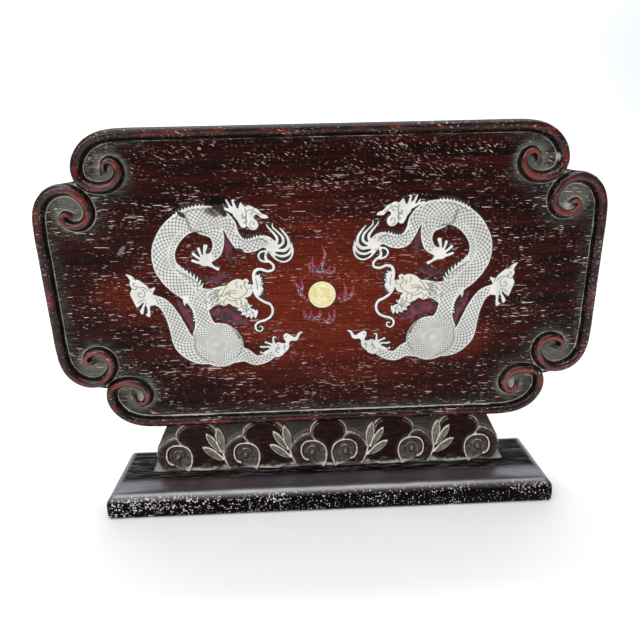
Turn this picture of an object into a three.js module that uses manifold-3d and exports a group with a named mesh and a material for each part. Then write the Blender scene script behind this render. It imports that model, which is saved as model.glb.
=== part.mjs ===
// A hardwood table screen: a board with a carved bead and corner scrolls, inlaid with two shell dragons,
// on a carved apron and a low plinth. Millimetres, +Z up, the front faces -Y, the origin is at the middle
// of the plinth's underside.
import * as THREE from 'three';
import { mergeVertices } from 'three/addons/utils/BufferGeometryUtils.js';
import Module from 'manifold-3d';

const wasm = await Module();
wasm.setup();

// Gap between pieces that touch
const fit = 0.3;

// Plinth: a bar with a round nose along its top edge
const plinthWidth = 246;
const plinthDepth = 50.3;
const plinthHeight = 13.2;
const plinthNose = 6;
const plinthFootRound = 2;
const noseSteps = 4;

// Apron: a block with a leaning, carved front
const apronHeight = 24.2;
const apronFootDepth = 19;
const apronLean = THREE.MathUtils.degToRad(23.7);
const apronFlare = 5.7;
const shoulderShare = 0.5;
const cloudHeight = 2;
const voluteHeight = 2.6;
const ridgeHeight = 3.2;
const bowlFloor = 1;
const ridgeWidth = 1.1;
const leafHeight = 3;
const unitPitch = 39.1;
const firstUnit = 10.1;
const unitCount = 3;

// Panel: a board with a raised bead round its edge
const panelWidth = 300;
const panelHeight = 164.6;
const panelThickness = 10.2;
const rearLedge = 5.1;
const beadWidth = 5.8;
const beadHeight = 3.8;
const beadSides = 8;
const scrollSpan = 55;
const scrollSteps = 18;

// Inlay: thin plates let into the board
const inlayThickness = 1;
const inlayProud = 0.15;
const inlayShift = -0.7;
const discRadius = 7.3;
const discReach = -1.15;
const discDrop = 6;
const dragonReach = 59.55;
const dragonHeight = 93.9;

const panelRise = plinthHeight + apronHeight;
const panelCentre = panelRise + panelHeight / 2;
const panelBack = plinthDepth / 2 - rearLedge;
const fieldFront = panelBack - panelThickness;

const rosewood = new THREE.MeshStandardMaterial({ color: 0x2c0f0c, roughness: 0.42, metalness: 0 });
const darkRosewood = new THREE.MeshStandardMaterial({ color: 0x1a0c0b, roughness: 0.45, metalness: 0 });
const shell = new THREE.MeshStandardMaterial({ color: 0xe4e0d2, roughness: 0.35, metalness: 0 });
const paleYellow = new THREE.MeshStandardMaterial({ color: 0xe9dc9a, roughness: 0.4, metalness: 0 });
const dyedRed = new THREE.MeshStandardMaterial({ color: 0x57101d, roughness: 0.4, metalness: 0 });

// A closed geometry as a solid that can be joined and cut, and back again
function solidOf(geometry) {
  const bare = geometry.clone();
  bare.deleteAttribute('normal');
  bare.deleteAttribute('uv');
  const merged = mergeVertices(bare, 1e-4);
  return new wasm.Manifold(new wasm.Mesh({
    numProp: 3,
    vertProperties: Float32Array.from(merged.attributes.position.array),
    triVerts: Uint32Array.from(merged.index.array),
  }));
}

function joined(geometries) {
  let whole = solidOf(geometries[0]);
  for (const geometry of geometries.slice(1)) {
    whole = whole.add(solidOf(geometry));
  }
  return whole;
}

function meshOf(name, solid, material) {
  const made = solid.getMesh();
  const geometry = new THREE.BufferGeometry();
  geometry.setAttribute('position', new THREE.BufferAttribute(made.vertProperties, 3));
  geometry.setIndex(new THREE.BufferAttribute(made.triVerts, 1));
  geometry.computeVertexNormals();
  const mesh = new THREE.Mesh(geometry, material);
  mesh.name = name;
  return mesh;
}

function vectors(outline) {
  const points = outline.map(([x, y]) => new THREE.Vector2(x, y));
  return THREE.ShapeUtils.area(points) < 0 ? points.reverse() : points;
}

function slab(outline, depth) {
  const shape = new THREE.Shape(vectors(outline));
  return new THREE.ExtrudeGeometry(shape, { depth, bevelEnabled: false, steps: 1 });
}

// Places, directions and half widths along a smooth line through chosen points [x, y, width]
function stationsAlong(points, steps) {
  const line = new THREE.CatmullRomCurve3(
    points.map(([x, y]) => new THREE.Vector3(x, y, 0)), false, 'centripetal');
  const stations = [];
  for (let i = 0; i <= steps; i += 1) {
    const t = i / steps;
    const place = line.getPoint(t);
    const along = line.getTangent(t);
    const at = t * (points.length - 1);
    const low = Math.min(Math.floor(at), points.length - 2);
    const width = THREE.MathUtils.lerp(points[low][2], points[low + 1][2], at - low);
    stations.push({ x: place.x, y: place.y, ax: along.x, ay: along.y, half: width / 2 });
  }
  return stations;
}

// The point a band runs out in, beyond its end station; a gap lengthens it by more than it widens the sides
function bandTip(end, before, grow) {
  const run = Math.hypot(end.x - before.x, end.y - before.y);
  const reach = (end.half + 3 * grow) / run;
  return [end.x + (end.x - before.x) * reach, end.y + (end.y - before.y) * reach];
}

// The outline of a band of changing width, which runs out in a point at its last end, and at its first if
// that is slim; grow widens it all round
const slim = 0.8;
function bandOutline(points, steps, grow = 0) {
  const stations = stationsAlong(points, steps);
  const end = bandTip(stations[steps], stations[steps - 1], grow);
  const start = stations[0].half < slim ? [bandTip(stations[0], stations[1], grow)] : [];
  stations.pop();
  stations.splice(0, start.length);
  const left = stations.map((s) => [s.x - s.ay * (s.half + grow), s.y + s.ax * (s.half + grow)]);
  const right = stations.map((s) => [s.x + s.ay * (s.half + grow), s.y - s.ax * (s.half + grow)]);
  return [...start, ...right, end, ...left.reverse()];
}

function flatBand(points, steps) {
  const stations = stationsAlong(points, steps);
  const left = stations.map((s) => [s.x - s.ay * s.half, s.y + s.ax * s.half]);
  const right = stations.map((s) => [s.x + s.ay * s.half, s.y - s.ax * s.half]);
  return [...right, ...left.reverse()];
}

// Points on part of an ellipse, from one angle to another
function arcPoints(x, y, wide, tall, from, to, steps) {
  const points = [];
  for (let i = 0; i <= steps; i += 1) {
    const angle = from + ((to - from) * i) / steps;
    points.push([x + wide * Math.cos(angle), y + tall * Math.sin(angle)]);
  }
  return points;
}

function ringOutline(x, y, radius, sides) {
  return arcPoints(x, y, radius, radius, 0, 2 * Math.PI, sides).slice(0, sides);
}

// Plinth
function noseProfile(length) {
  const flat = length / 2 - plinthNose;
  const nose = arcPoints(flat, plinthHeight - plinthNose, plinthNose, plinthNose, 0, Math.PI / 2, noseSteps);
  const right = [[length / 2 - plinthFootRound, 0], [length / 2, plinthFootRound], ...nose];
  return [...right, ...right.map(([x, y]) => [-x, y]).reverse()];
}

function makePlinth() {
  const along = slab(noseProfile(plinthDepth), plinthWidth);
  along.rotateX(Math.PI / 2);
  along.rotateZ(Math.PI / 2);
  along.translate(-plinthWidth / 2, 0, 0);
  const across = slab(noseProfile(plinthWidth), plinthDepth);
  across.rotateX(Math.PI / 2);
  across.translate(0, plinthDepth / 2, 0);
  return meshOf('plinth', solidOf(along).intersect(solidOf(across)), darkRosewood);
}

// Scrolls: lines from the straight bead to the curled tip, as [in from the panel's side, down from its
// top, share of the bead's width], drawn for a scroll that leaves the straight bead 55 in from the side
const spanUnits = 55;
const broadScroll = [
  [64, 2.9, 1], [55, 2.9, 1], [45, 3.3, 1], [38, 4.9, 1], [32, 8.5, 1], [27.8, 14.1, 1], [26.4, 20.1, 1],
  [27.8, 24.9, 0.97], [31.8, 27.7, 0.97], [37.4, 28.6, 0.97], [43, 27.3, 0.97], [46.5, 23.9, 0.9],
  [47.6, 20.1, 0.83], [46.2, 16.7, 0.72], [43.5, 15.3, 0.62], [41, 16.3, 0.52], [40.1, 18.3, 0.42],
];
const sideScroll = [
  [2.9, 62.3, 1], [2.9, 51.3, 1], [3.7, 41.8, 1], [6, 35.7, 1], [10.1, 31.3, 1], [15.5, 29.1, 1],
  [21.2, 29.3, 0.97], [25.8, 32.1, 0.97], [28.8, 36.3, 0.97], [29.6, 40.7, 0.97], [28.1, 44.7, 0.93],
  [24.6, 47.3, 0.9], [20.4, 47.5, 0.79], [17, 45.7, 0.69], [16, 43.1, 0.55], [17.3, 41.2, 0.45],
  [19, 41.7, 0.38],
];
const notch = [24.7, 24.8];
const webEnd = 19;

// From drawn scroll measures to the panel's upper right quarter, from its middle
function onCorner([inward, down, share]) {
  const scale = scrollSpan / spanUnits;
  const edge = beadWidth / 2 - scale * 2.9;
  return [panelWidth / 2 - inward * scale - edge, panelHeight / 2 - down * scale - edge, share * beadWidth];
}

function quarterStations(scroll) {
  return stationsAlong(scroll.map(onCorner), scrollSteps);
}

// A bead from one scroll's tip to its mirrored partner's, its lower half buried in the board
function beadRod(scroll, mirrorX, mirrorY, turn) {
  const half = quarterStations(scroll);
  const partner = half.map((s) => ({
    x: s.x * mirrorX, y: s.y * mirrorY, ax: -s.ax * mirrorX, ay: -s.ay * mirrorY, half: s.half,
  }));
  const stations = [...partner.reverse(), ...half];
  const rod = new THREE.CylinderGeometry(1, 1, 1, beadSides, stations.length - 1);
  const spot = rod.attributes.position;
  const buriedShare = 0.85;
  for (let i = 0; i < spot.count; i += 1) {
    const s = stations[Math.round((spot.getY(i) + 0.5) * (stations.length - 1))];
    const front = spot.getZ(i);
    const side = spot.getX(i) * s.half * (front < -0.1 ? buriedShare : 1);
    const tall = beadHeight * Math.min(1, (2.8 * s.half) / beadWidth);
    spot.setXYZ(
      i, turn * (s.x + s.ay * side), fieldFront - front * tall, panelCentre + turn * (s.y - s.ax * side));
  }
  return rod;
}

function boardOutline() {
  const [notchX, notchY] = onCorner([...notch, 1]);
  const [webX] = onCorner([webEnd, 0, 1]);
  const firstHalf = scrollSteps / 2;
  const broad = quarterStations(broadScroll).slice(0, firstHalf)
    .map((s) => [s.x - s.ay * s.half, s.y + s.ax * s.half])
    .filter(([, y]) => y > notchY + 0.6);
  const side = quarterStations(sideScroll).slice(0, firstHalf)
    .map((s) => [s.x + s.ay * s.half, s.y - s.ax * s.half])
    .filter(([x]) => x > webX);
  const quarter = [...broad, [notchX, notchY], ...side.reverse()];
  const right = [...quarter, ...quarter.map(([x, y]) => [x, -y]).reverse()];
  return [...right, ...right.map(([x, y]) => [-x, y]).reverse()];
}

// A plate drawn on the panel's face, whose back is at depth behind the field
function onPanel(outline, thickness, depth) {
  const plate = slab(outline, thickness);
  plate.rotateX(Math.PI / 2);
  plate.translate(0, fieldFront + depth, panelCentre);
  return plate;
}

// The left dragon's bands as [steps, points], drawn from the middle of the figure, +x towards the disc,
// for a figure 93.4 high
const heightUnits = 93.4;
const body = [
  [33, 22.5, 4], [27, 24, 5], [21.5, 22, 6], [16.5, 22.3, 6.6], [12.5, 27.5, 6.4], [10, 33.5, 8],
  [4.5, 37, 10.5], [-4, 37, 12.6], [-13, 34.7, 12.2], [-20.5, 28.5, 12.2], [-24.8, 20, 12.3],
  [-24.2, 11.5, 12.8], [-19, 4.5, 14], [-12.5, -2, 12.6], [-8.8, -10, 9.4], [-7.3, -17, 8.8],
  [-6.4, -23, 12], [-4.5, -30, 20],
];
const limbs = [
  [6, [[-4, -37.6, 14], [-12, -36.9, 13.6], [-18.5, -31.8, 12.3], [-21.2, -23.5, 9.8], [-23.8, -15.5, 7.8],
    [-28, -8.3, 6.2], [-34, -5.2, 5.4]]],
  [4, [[6, -38.5, 12], [14, -39.6, 8], [20, -43, 6], [26, -41.7, 5.4], [31, -38.4, 5]]],
  [3, [[-3, 34, 11], [3, 29.8, 8.4], [4.3, 24, 6.2], [2.8, 19, 5.6], [0, 16, 5]]],
];
const head = [
  [5, [[-7, -5.2, 11], [0, -5.3, 9.8], [5, -4, 10], [10, -1.2, 11.6], [14.5, -1, 10.6], [18.3, -1.6, 6.6],
    [19.6, -1.2, 4]]],
  [3, [[6, -6.4, 6], [11, -8.8, 6.4], [14.5, -12, 6.2], [18, -15.2, 5], [21, -15.2, 3.2]]],
];
const leftClaw = [
  [3, [[-33, -5.6, 5.5], [-38, -3, 9.4], [-41.8, -0.4, 8.6], [-42.2, 3.6, 5.4], [-44.4, 7, 2.6],
    [-46, 9, 1.2]]],
  [1, [[-38.5, -6.5, 3], [-40, -13, 2.2]]],
  [1, [[-36.6, -6.5, 3], [-37, -14, 2.5]]],
  [1, [[-41.5, -4.5, 3.4], [-43, -8.2, 2.2]]],
  [1, [[-35.5, -2, 3.4], [-32.2, 0.4, 1.6]]],
];
const openClaw = [
  [1, [[-1, 16.5, 4.5], [-4.5, 13.6, 5]]],
  [1, [[-3, 14, 4], [-10.2, 14.5, 2]]],
  [1, [[-3, 14.6, 4], [-9.7, 18.5, 2]]],
  [1, [[-3, 15, 4], [-6.7, 21.2, 2]]],
  [1, [[-2.3, 15, 4], [-2.7, 22.4, 2.2]]],
  [1, [[-1.5, 13, 3.4], [2.8, 9.9, 1.8]]],
];
const upperClaw = [
  [3, [[8, 36, 9], [15, 37.4, 9], [20, 36.6, 9.6], [23, 33.6, 6.6]]],
  [3, [[17, 39, 5], [20.5, 40.8, 5], [24.5, 40, 4.2], [27.5, 37.8, 2.6], [30.3, 36.9, 1.2]]],
  [1, [[13.5, 39, 3.2], [8.2, 42.2, 1.6]]],
  [1, [[14, 40, 3.2], [10.2, 45.2, 1.8]]],
  [1, [[15.5, 40, 3.2], [14, 45.4, 1.8]]],
  [1, [[17.5, 41, 3.2], [17.2, 44.7, 1.8]]],
];
const lowerClaw = [
  [3, [[28.6, -38.4, 4.6], [32, -36.6, 8], [35.6, -35.7, 7.6], [37.2, -33.4, 4.6]]],
  [1, [[29, -37.4, 2.4], [23, -38.7, 1.8]]],
  [1, [[30, -36, 2.4], [23.3, -34.7, 1.6]]],
  [1, [[30.5, -34.5, 2.2], [25.3, -32.5, 1.5]]],
  [1, [[31, -33.6, 2.4], [30.4, -29.9, 1.6]]],
  [4, [[37.8, -34, 3.4], [37.4, -30, 4.4], [40.4, -30.2, 2.5], [43, -31.3, 2], [44.7, -29.6, 1.8],
    [45.7, -27.5, 1.6], [47.2, -27, 1.2]]],
];
const whisker = [
  [25, 18, 3.4], [27, 14.2, 2.4], [30.5, 13.3, 1.8], [31.6, 11, 1.7], [31, 8.9, 1.7], [28.4, 8.5, 1.7],
  [25.5, 9.2, 1.8], [22.8, 8.2, 1.9], [22, 5.5, 2.2], [22.6, 2.4, 3.4], [22.9, -0.4, 3.8],
  [22.4, -3.2, 2.8], [23.3, -6, 1.8], [26.5, -8.7, 1.6], [29.8, -10.5, 1.6], [30.8, -14, 1.6],
  [29.7, -17.2, 1.6], [26.5, -19.2, 1.6], [23, -20, 1.5], [21, -21.7, 1.5], [20.7, -24, 1.4],
  [22.4, -25.5, 1.4], [24.3, -24.7, 1.3], [24.4, -22.8, 1.2],
];
const tailHair = [
  [3, [[32, 22, 5], [35.5, 22.6, 2.6], [36.8, 26, 2], [34.2, 30, 1.6], [32.2, 34, 1]]],
  [3, [[32, 21, 5], [38.3, 21.5, 2.6], [40.3, 25.6, 2], [38.2, 29.6, 1.6], [36, 32, 1]]],
  [3, [[31, 20, 5], [37.5, 18.6, 2.8], [41.6, 20.6, 2.2], [42, 24.6, 1.8], [40.6, 28, 1]]],
  [3, [[31, 20, 4], [34.5, 15.6, 2.4], [38.4, 14, 2.2], [41.6, 16.4, 1.8], [42.6, 20, 1.4]]],
];
const dragonBands = [
  [18, body], ...limbs, ...head, ...leftClaw, ...openClaw, ...upperClaw, ...lowerClaw, [15, whisker],
  ...tailHair,
];

// The haunch, a palm and a cloud lobe, as [x, y, radius, sides]
const dragonRounds = [[0.6, -33.2, 13.1, 14], [-2.8, 14.6, 3.2, 6], [20, 33.4, 3.4, 6]];

// Dyed inlays beside the left dragon, drawn from the middle of the figure
const dragonFlames = {
  wisp: [[3, [[8.5, 25.6, 0.8], [9.3, 22, 2.8], [9.2, 18, 3.4], [9.8, 14, 1.2]]]],
  brow: [[3, [[-4, 4.4, 1], [0, 4.6, 3], [5, 6, 3.4], [10.4, 7.6, 0.8]]]],
  throat: [[3, [[-1.6, -14.2, 3.4], [3, -14.9, 6.6], [8.6, -15.8, 6.6], [12.6, -19, 4.6], [17, -21, 2.4]]]],
  flank: [[3, [[-19.4, -7.4, 1.4], [-17.4, -11.4, 4], [-15.4, -16.6, 3.4], [-14, -21, 2], [-13.4, -24.6, 0.8]]]],
};

// Dyed inlays around the disc, drawn from its middle
const pearlFlames = {
  top: [
    [4, [[-7.2, 17.4, 1], [-5.2, 14, 2.2], [-1.2, 13.4, 2.8], [3, 12.6, 2.6], [6.4, 12.6, 2], [7.4, 15, 0.9]]],
    [3, [[-1, 14, 2.6], [0.8, 18, 2.2], [2, 22, 1.6], [0.6, 27, 0.9]]],
    [1, [[-3.6, 14.6, 2.2], [-4.2, 22, 0.9]]],
  ],
  left: [
    [3, [[-14.4, 7.6, 0.9], [-12.6, 4, 2.2], [-11.6, 0.6, 2.6], [-9.4, -1.6, 1.2]]],
    [1, [[-11.6, 1, 2.2], [-11.2, 9.2, 0.8]]],
  ],
  right: [
    [4, [[8.6, -1, 1], [10, -3.4, 2.2], [13.4, -2.6, 2.6], [16.2, -0.4, 2.2], [17.2, 4.2, 0.9]]],
    [1, [[12.4, -2.2, 2.2], [11.8, 7, 0.8]]],
  ],
  low_left: [
    [4, [[-10.4, -9, 1], [-9.2, -12.2, 2.4], [-5.2, -13.4, 2.8], [-1.8, -12.6, 2.2], [-1.4, -9.2, 0.9]]],
    [1, [[-5.8, -13, 2.2], [-6, -8.6, 0.8]]],
  ],
  low_right: [
    [4, [[0.6, -13.4, 0.9], [1.6, -15.8, 2], [4.4, -15.6, 2.4], [6.4, -13, 2], [6.6, -8.8, 0.9]]],
    [1, [[3.4, -15, 2], [3.2, -10, 0.8]]],
  ],
};

// Drawn places to places on the panel, for the figure on the left (hand 1) or on the right (hand -1)
function besideMiddle(hand) {
  const share = dragonHeight / heightUnits;
  return ([x, y]) => [inlayShift + hand * (x * share - dragonReach), y * share];
}

function aroundDisc([x, y]) {
  return [inlayShift + discReach + x, y - discDrop];
}

// Every inlay as [name, its outlines when grown by a gap, material]
function bandsPlaced(bands, place) {
  return (grow) => bands.map(([steps, points]) => bandOutline(points, steps, grow).map(place));
}

function dragonPlaced(place) {
  const bands = bandsPlaced(dragonBands, place);
  const rounds = (grow) => dragonRounds.map(([x, y, r, n]) => ringOutline(x, y, r + grow, n).map(place));
  return (grow) => [...bands(grow), ...rounds(grow)];
}

function listInlays() {
  const discSides = 24;
  const list = [
    ['pearl_disc', (grow) => [ringOutline(0, 0, discRadius + grow, discSides).map(aroundDisc)], paleYellow],
  ];
  for (const [name, bands] of Object.entries(pearlFlames)) {
    list.push([`pearl_flame_${name}`, bandsPlaced(bands, aroundDisc), dyedRed]);
  }
  for (const [side, hand] of [['left', 1], ['right', -1]]) {
    list.push([`dragon_${side}`, dragonPlaced(besideMiddle(hand)), shell]);
    for (const [name, bands] of Object.entries(dragonFlames)) {
      list.push([`flame_${side}_${name}`, bandsPlaced(bands, besideMiddle(hand)), dyedRed]);
    }
  }
  return list;
}

const inlays = listInlays();
const plateBack = inlayThickness - inlayProud;

function makeInlay([name, outlines, material]) {
  const plates = outlines(0).map((outline) => onPanel(outline, inlayThickness, plateBack));
  return meshOf(name, joined(plates), material);
}

function makePanel() {
  const board = onPanel(boardOutline(), panelThickness, panelThickness);
  const beads = [1, -1].flatMap((turn) => [
    beadRod(broadScroll, -1, 1, turn), beadRod(sideScroll, 1, -1, turn),
  ]);
  let panel = joined([board, ...beads]);
  const pocketDepth = plateBack + fit;
  for (const [, outlines] of inlays) {
    const pockets = outlines(fit).map((outline) => onPanel(outline, pocketDepth + 1, pocketDepth));
    panel = panel.subtract(joined(pockets));
  }
  return meshOf('panel', panel, rosewood);
}

// Apron: its carving is drawn on the leaning front as [along, up the slope] from the foot of one scroll,
// for scrolls 39.1 apart on a slope 26.5 long, and stands between two heights above the ground
const pitchUnits = 39.1;
const slopeUnits = 26.5;
const apronBack = panelBack - fit;
const groundFoot = apronBack - apronFootDepth;
const volutePlace = 11.9;
const shoulderHalf = firstUnit + (unitCount - 1) * unitPitch + volutePlace * (unitPitch / pitchUnits);

function onApron(outline, low, high) {
  const raised = slab(outline, high - low);
  raised.translate(0, 0, low);
  raised.rotateX(Math.PI / 2 - apronLean);
  raised.translate(0, groundFoot, plinthHeight);
  return raised;
}

function makeGround() {
  const rise = apronHeight + 1;
  const side = slab([
    [groundFoot, 0], [apronBack, 0], [apronBack, rise], [groundFoot + Math.tan(apronLean) * rise, rise],
  ], 2 * shoulderHalf);
  side.rotateX(Math.PI / 2);
  side.rotateZ(Math.PI / 2);
  side.translate(-shoulderHalf, 0, plinthHeight);
  const footHalf = shoulderHalf - 4;
  const shoulder = apronHeight * shoulderShare;
  const right = [
    [footHalf, 0], [shoulderHalf, shoulder / 2], [shoulderHalf, shoulder], [shoulderHalf - apronFlare, rise],
  ];
  const front = slab([...right, ...right.map(([x, y]) => [-x, y]).reverse()], 2 * plinthDepth);
  front.rotateX(Math.PI / 2);
  front.translate(0, plinthDepth, plinthHeight);
  return solidOf(side).intersect(solidOf(front));
}

const ring = [
  [6.6, -1], [8.2, 3], [8.6, 7], [7.4, 10.6], [4.4, 13], [0.2, 13.9], [-3.4, 13.4], [-5.6, 11.6], [-6, 9],
  [-5.2, 6.8], [-3.6, 5.4],
].map(([x, y]) => [x, y, ridgeWidth]);
const ringSteps = 8;
const ringPlaces = stationsAlong(ring, ringSteps).map((s) => [s.x, s.y]);
const tongue = [[-3.7, 5.6, 3], [-3.2, 8.2, 2.2], [-1.4, 9.9, 1.8], [1, 10, 1.1]];
const volute = [
  [-1.4, 19], [-7.3, 16.8], [-11.2, 13], [-12.8, 8], [-11.4, 3.6], [-7.4, -1],
  ...ringPlaces.slice(0, ringSteps / 2),
];
const button = [0, 6.6, 2.4];
const dome = [10.9, 19, 12.3, 7.5];
const leaves = [
  [[26.2, 9.6, 1.6], [25.4, 13, 4.2], [24.6, 17.4, 4.8], [23.4, 21.4, 2.6]],
  [[25, 9.4, 1.6], [22, 13, 3.4], [19, 16.6, 3.8], [17, 19.2, 2.2]],
  [[26.8, 5, 1.6], [22.4, 7.2, 3.6], [18.2, 9.8, 4], [15, 11.8, 2.2]],
];
const stem = [[30.4, -1, 1], [28.2, 3, 1.2], [26.6, 6.4, 1.4], [26, 10, 1.2]];

function unitPlace(index, hand) {
  const along = unitPitch / pitchUnits;
  const up = apronHeight / Math.cos(apronLean) / slopeUnits;
  const middle = firstUnit + unitPitch * index;
  return ([x, y]) => [hand * (x * along - middle), y * up];
}

function makeApron() {
  const low = -1;
  const clouds = [];
  const volutes = [];
  const bowls = [];
  const ridges = [];
  for (const hand of [1, -1]) {
    for (let index = 0; index < unitCount; index += 1) {
      const place = unitPlace(index, hand);
      volutes.push(onApron(volute.map(place), low, voluteHeight));
      bowls.push(onApron(ringPlaces.map(place), bowlFloor, voluteHeight + 1));
      ridges.push(onApron(flatBand(ring, ringSteps).map(place), low, ridgeHeight));
      ridges.push(onApron(bandOutline(tongue, 2).map(place), low, ridgeHeight));
      ridges.push(onApron(ringOutline(...button, 6).map(place), low, ridgeHeight));
      if (index > 0) {
        const [x, y, wide, tall] = dome;
        const top = arcPoints(x, y, wide, tall, 0, Math.PI, 6);
        const next = pitchUnits - wide;
        clouds.push(onApron([[x - wide, -1], [next, -1], [next, 12], ...top].map(place), low, cloudHeight));
        ridges.push(onApron(bandOutline(stem, 2).map(place), low, ridgeHeight));
        for (const leaf of leaves) {
          ridges.push(onApron(bandOutline(leaf, 2).map(place), low, leafHeight));
        }
      }
    }
  }
  const [, y, , tall] = dome;
  const middle = arcPoints(0, y, firstUnit + 0.8, tall, 0, Math.PI, 6);
  const top = middle.map(([a, b]) => [a, unitPlace(0, 1)([0, b])[1]]);
  clouds.push(onApron([[-firstUnit, -1], [firstUnit, -1], ...top], low, cloudHeight));
  const carved = makeGround().add(joined(clouds)).add(joined(volutes)).subtract(joined(bowls));
  const trimHeight = apronHeight - 2 * fit;
  const trim = new THREE.BoxGeometry(2 * plinthWidth, 4 * plinthDepth, trimHeight);
  trim.translate(0, 0, plinthHeight + fit + trimHeight / 2);
  return meshOf('apron', carved.add(joined(ridges)).intersect(solidOf(trim)), darkRosewood);
}

const screen = new THREE.Group();
screen.add(makePlinth(), makeApron(), makePanel(), ...inlays.map(makeInlay));

export default screen;
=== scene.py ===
import math

import bpy
import numpy as np
from mathutils import Matrix, Vector, kdtree, noise
from mathutils.geometry import delaunay_2d_cdt


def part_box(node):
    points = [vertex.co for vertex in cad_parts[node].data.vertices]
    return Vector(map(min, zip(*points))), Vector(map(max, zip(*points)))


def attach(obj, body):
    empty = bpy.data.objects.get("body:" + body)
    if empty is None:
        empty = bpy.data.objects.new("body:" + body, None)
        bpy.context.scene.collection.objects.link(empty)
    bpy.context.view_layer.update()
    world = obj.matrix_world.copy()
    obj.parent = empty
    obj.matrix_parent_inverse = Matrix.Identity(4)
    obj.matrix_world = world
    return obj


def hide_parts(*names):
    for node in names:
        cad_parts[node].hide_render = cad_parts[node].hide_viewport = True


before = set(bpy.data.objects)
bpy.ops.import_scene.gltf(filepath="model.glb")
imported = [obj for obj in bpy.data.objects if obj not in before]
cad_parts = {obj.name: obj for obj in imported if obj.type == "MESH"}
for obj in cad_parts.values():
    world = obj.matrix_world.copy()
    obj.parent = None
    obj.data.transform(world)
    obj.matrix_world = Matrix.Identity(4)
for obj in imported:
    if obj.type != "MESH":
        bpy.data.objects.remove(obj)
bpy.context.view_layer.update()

# The plinth is a bar of near-black rosewood with a round nose worked along its top edge. Its flat top is
# rougher and dusty, and its front shows the wood's open pores as pale dots. Sizes here are millimetres.
MM = 0.001


class Value:
    """One output of a node. A sum on it adds Math nodes."""

    def __init__(self, finish, socket):
        self.finish = finish
        self.socket = socket

    def sum(self, operation, *terms):
        return self.finish.node("ShaderNodeMath", {"operation": operation}, dict(enumerate(terms)))

    def __add__(self, other):
        return self.sum("ADD", self, other)

    def __radd__(self, other):
        return self.sum("ADD", other, self)

    def __sub__(self, other):
        return self.sum("SUBTRACT", self, other)

    def __rsub__(self, other):
        return self.sum("SUBTRACT", other, self)

    def __mul__(self, other):
        return self.sum("MULTIPLY", self, other)

    def __rmul__(self, other):
        return self.sum("MULTIPLY", other, self)

    def __truediv__(self, other):
        return self.sum("DIVIDE", self, other)

    def __pow__(self, other):
        return self.sum("POWER", self, other)

    def __abs__(self):
        return self.sum("ABSOLUTE", self)

    def least(self, other):
        return self.sum("MINIMUM", self, other)

    def most(self, other):
        return self.sum("MAXIMUM", self, other)

    def ramp(self, low, high):
        """0 below low and 1 above high, with a soft step between them."""
        return self.finish.node(
            "ShaderNodeMapRange", {"interpolation_type": "SMOOTHSTEP"},
            {"Value": self, "From Min": low, "From Max": high})

    def beside(self, name):
        """Another output of the same node."""
        return Value(self.finish, self.socket.node.outputs[name])


class Finish:
    """A material, made up node by node."""

    def __init__(self, name):
        self.material = bpy.data.materials.new(name)
        self.material.use_nodes = True
        self.tree = self.material.node_tree
        self.tree.nodes.clear()

    def node(self, kind, settings, sockets, out=0):
        made = self.tree.nodes.new(kind)
        for key, value in settings.items():
            setattr(made, key, value)
        for key, value in sockets.items():
            if isinstance(value, Value):
                self.tree.links.new(value.socket, made.inputs[key])
            else:
                made.inputs[key].default_value = value
        return Value(self, made.outputs[out])

    def place(self, stretch=(1, 1, 1), shift=(0, 0, 0)):
        """Where a point is on the piece, in millimetres, stretched and shifted."""
        spot = self.node("ShaderNodeTexCoord", {}, {}, "Object")
        scale = tuple(part / MM for part in stretch)
        return self.node(
            "ShaderNodeVectorMath", {"operation": "MULTIPLY_ADD"}, {0: spot, 1: scale, 2: shift})

    def clouds(self, size, shift=(0, 0, 0), detail=3.0, rough=0.55):
        """Soft patches from 0 to 1, size being their length along x, y and z."""
        spot = self.place([1 / part for part in size], shift)
        return self.node(
            "ShaderNodeTexNoise", {}, {"Vector": spot, "Scale": 1.0, "Detail": detail, "Roughness": rough})

    def layer(self, name):
        """A number kept on the mesh's points."""
        return self.node("ShaderNodeAttribute", {"attribute_name": name}, {}, "Fac")

    def tint(self, share, under, over):
        """The colour under with a share of the colour over."""
        colours = [(*part, 1.0) if isinstance(part, tuple) else part for part in (under, over)]
        return self.node(
            "ShaderNodeMix", {"data_type": "RGBA"}, {0: share, 6: colours[0], 7: colours[1]}, 2)

    def coats(self, colour, *coats):
        """A colour under coats, each a share and a colour, the last one on top."""
        for share, over in coats:
            colour = self.tint(share, colour, over)
        return colour

    def surface(self, colour, roughness, height, depth, **plain):
        """The finished surface: what varies over it, then its plain numbers."""
        bump = self.node("ShaderNodeBump", {}, {"Strength": 1.0, "Distance": depth * MM, "Height": height})
        sockets = {"Base Color": colour, "Roughness": roughness, "Normal": bump}
        sockets.update({key.replace("_", " "): value for key, value in plain.items()})
        shader = self.node("ShaderNodeBsdfPrincipled", {}, sockets)
        end = self.tree.nodes.new("ShaderNodeOutputMaterial")
        self.tree.links.new(shader.socket, end.inputs["Surface"])


def wander(points, size, seed=0.0):
    """Soft random numbers from -1 to 1 at points, which change over about size millimetres."""
    return np.array([noise.noise(Vector(point) / size + Vector((seed, seed, seed))) for point in points])


def fill_in(loop, inner=()):
    """Triangles over the inside of a loop of points, on the loop's own points and the inner ones."""
    spots = [Vector(point) for point in loop] + [Vector(point) for point in inner]
    _, _, faces, origins, _, _ = delaunay_2d_cdt(spots, [], [list(range(len(loop)))], 1, 1e-7)
    return [[origins[corner][0] for corner in face] for face in faces]


def ring_wall(count, begin, end):
    """Faces between two rings of points, each given by its first point."""
    return [[begin + i, begin + (i + 1) % count, end + (i + 1) % count, end + i] for i in range(count)]


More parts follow.
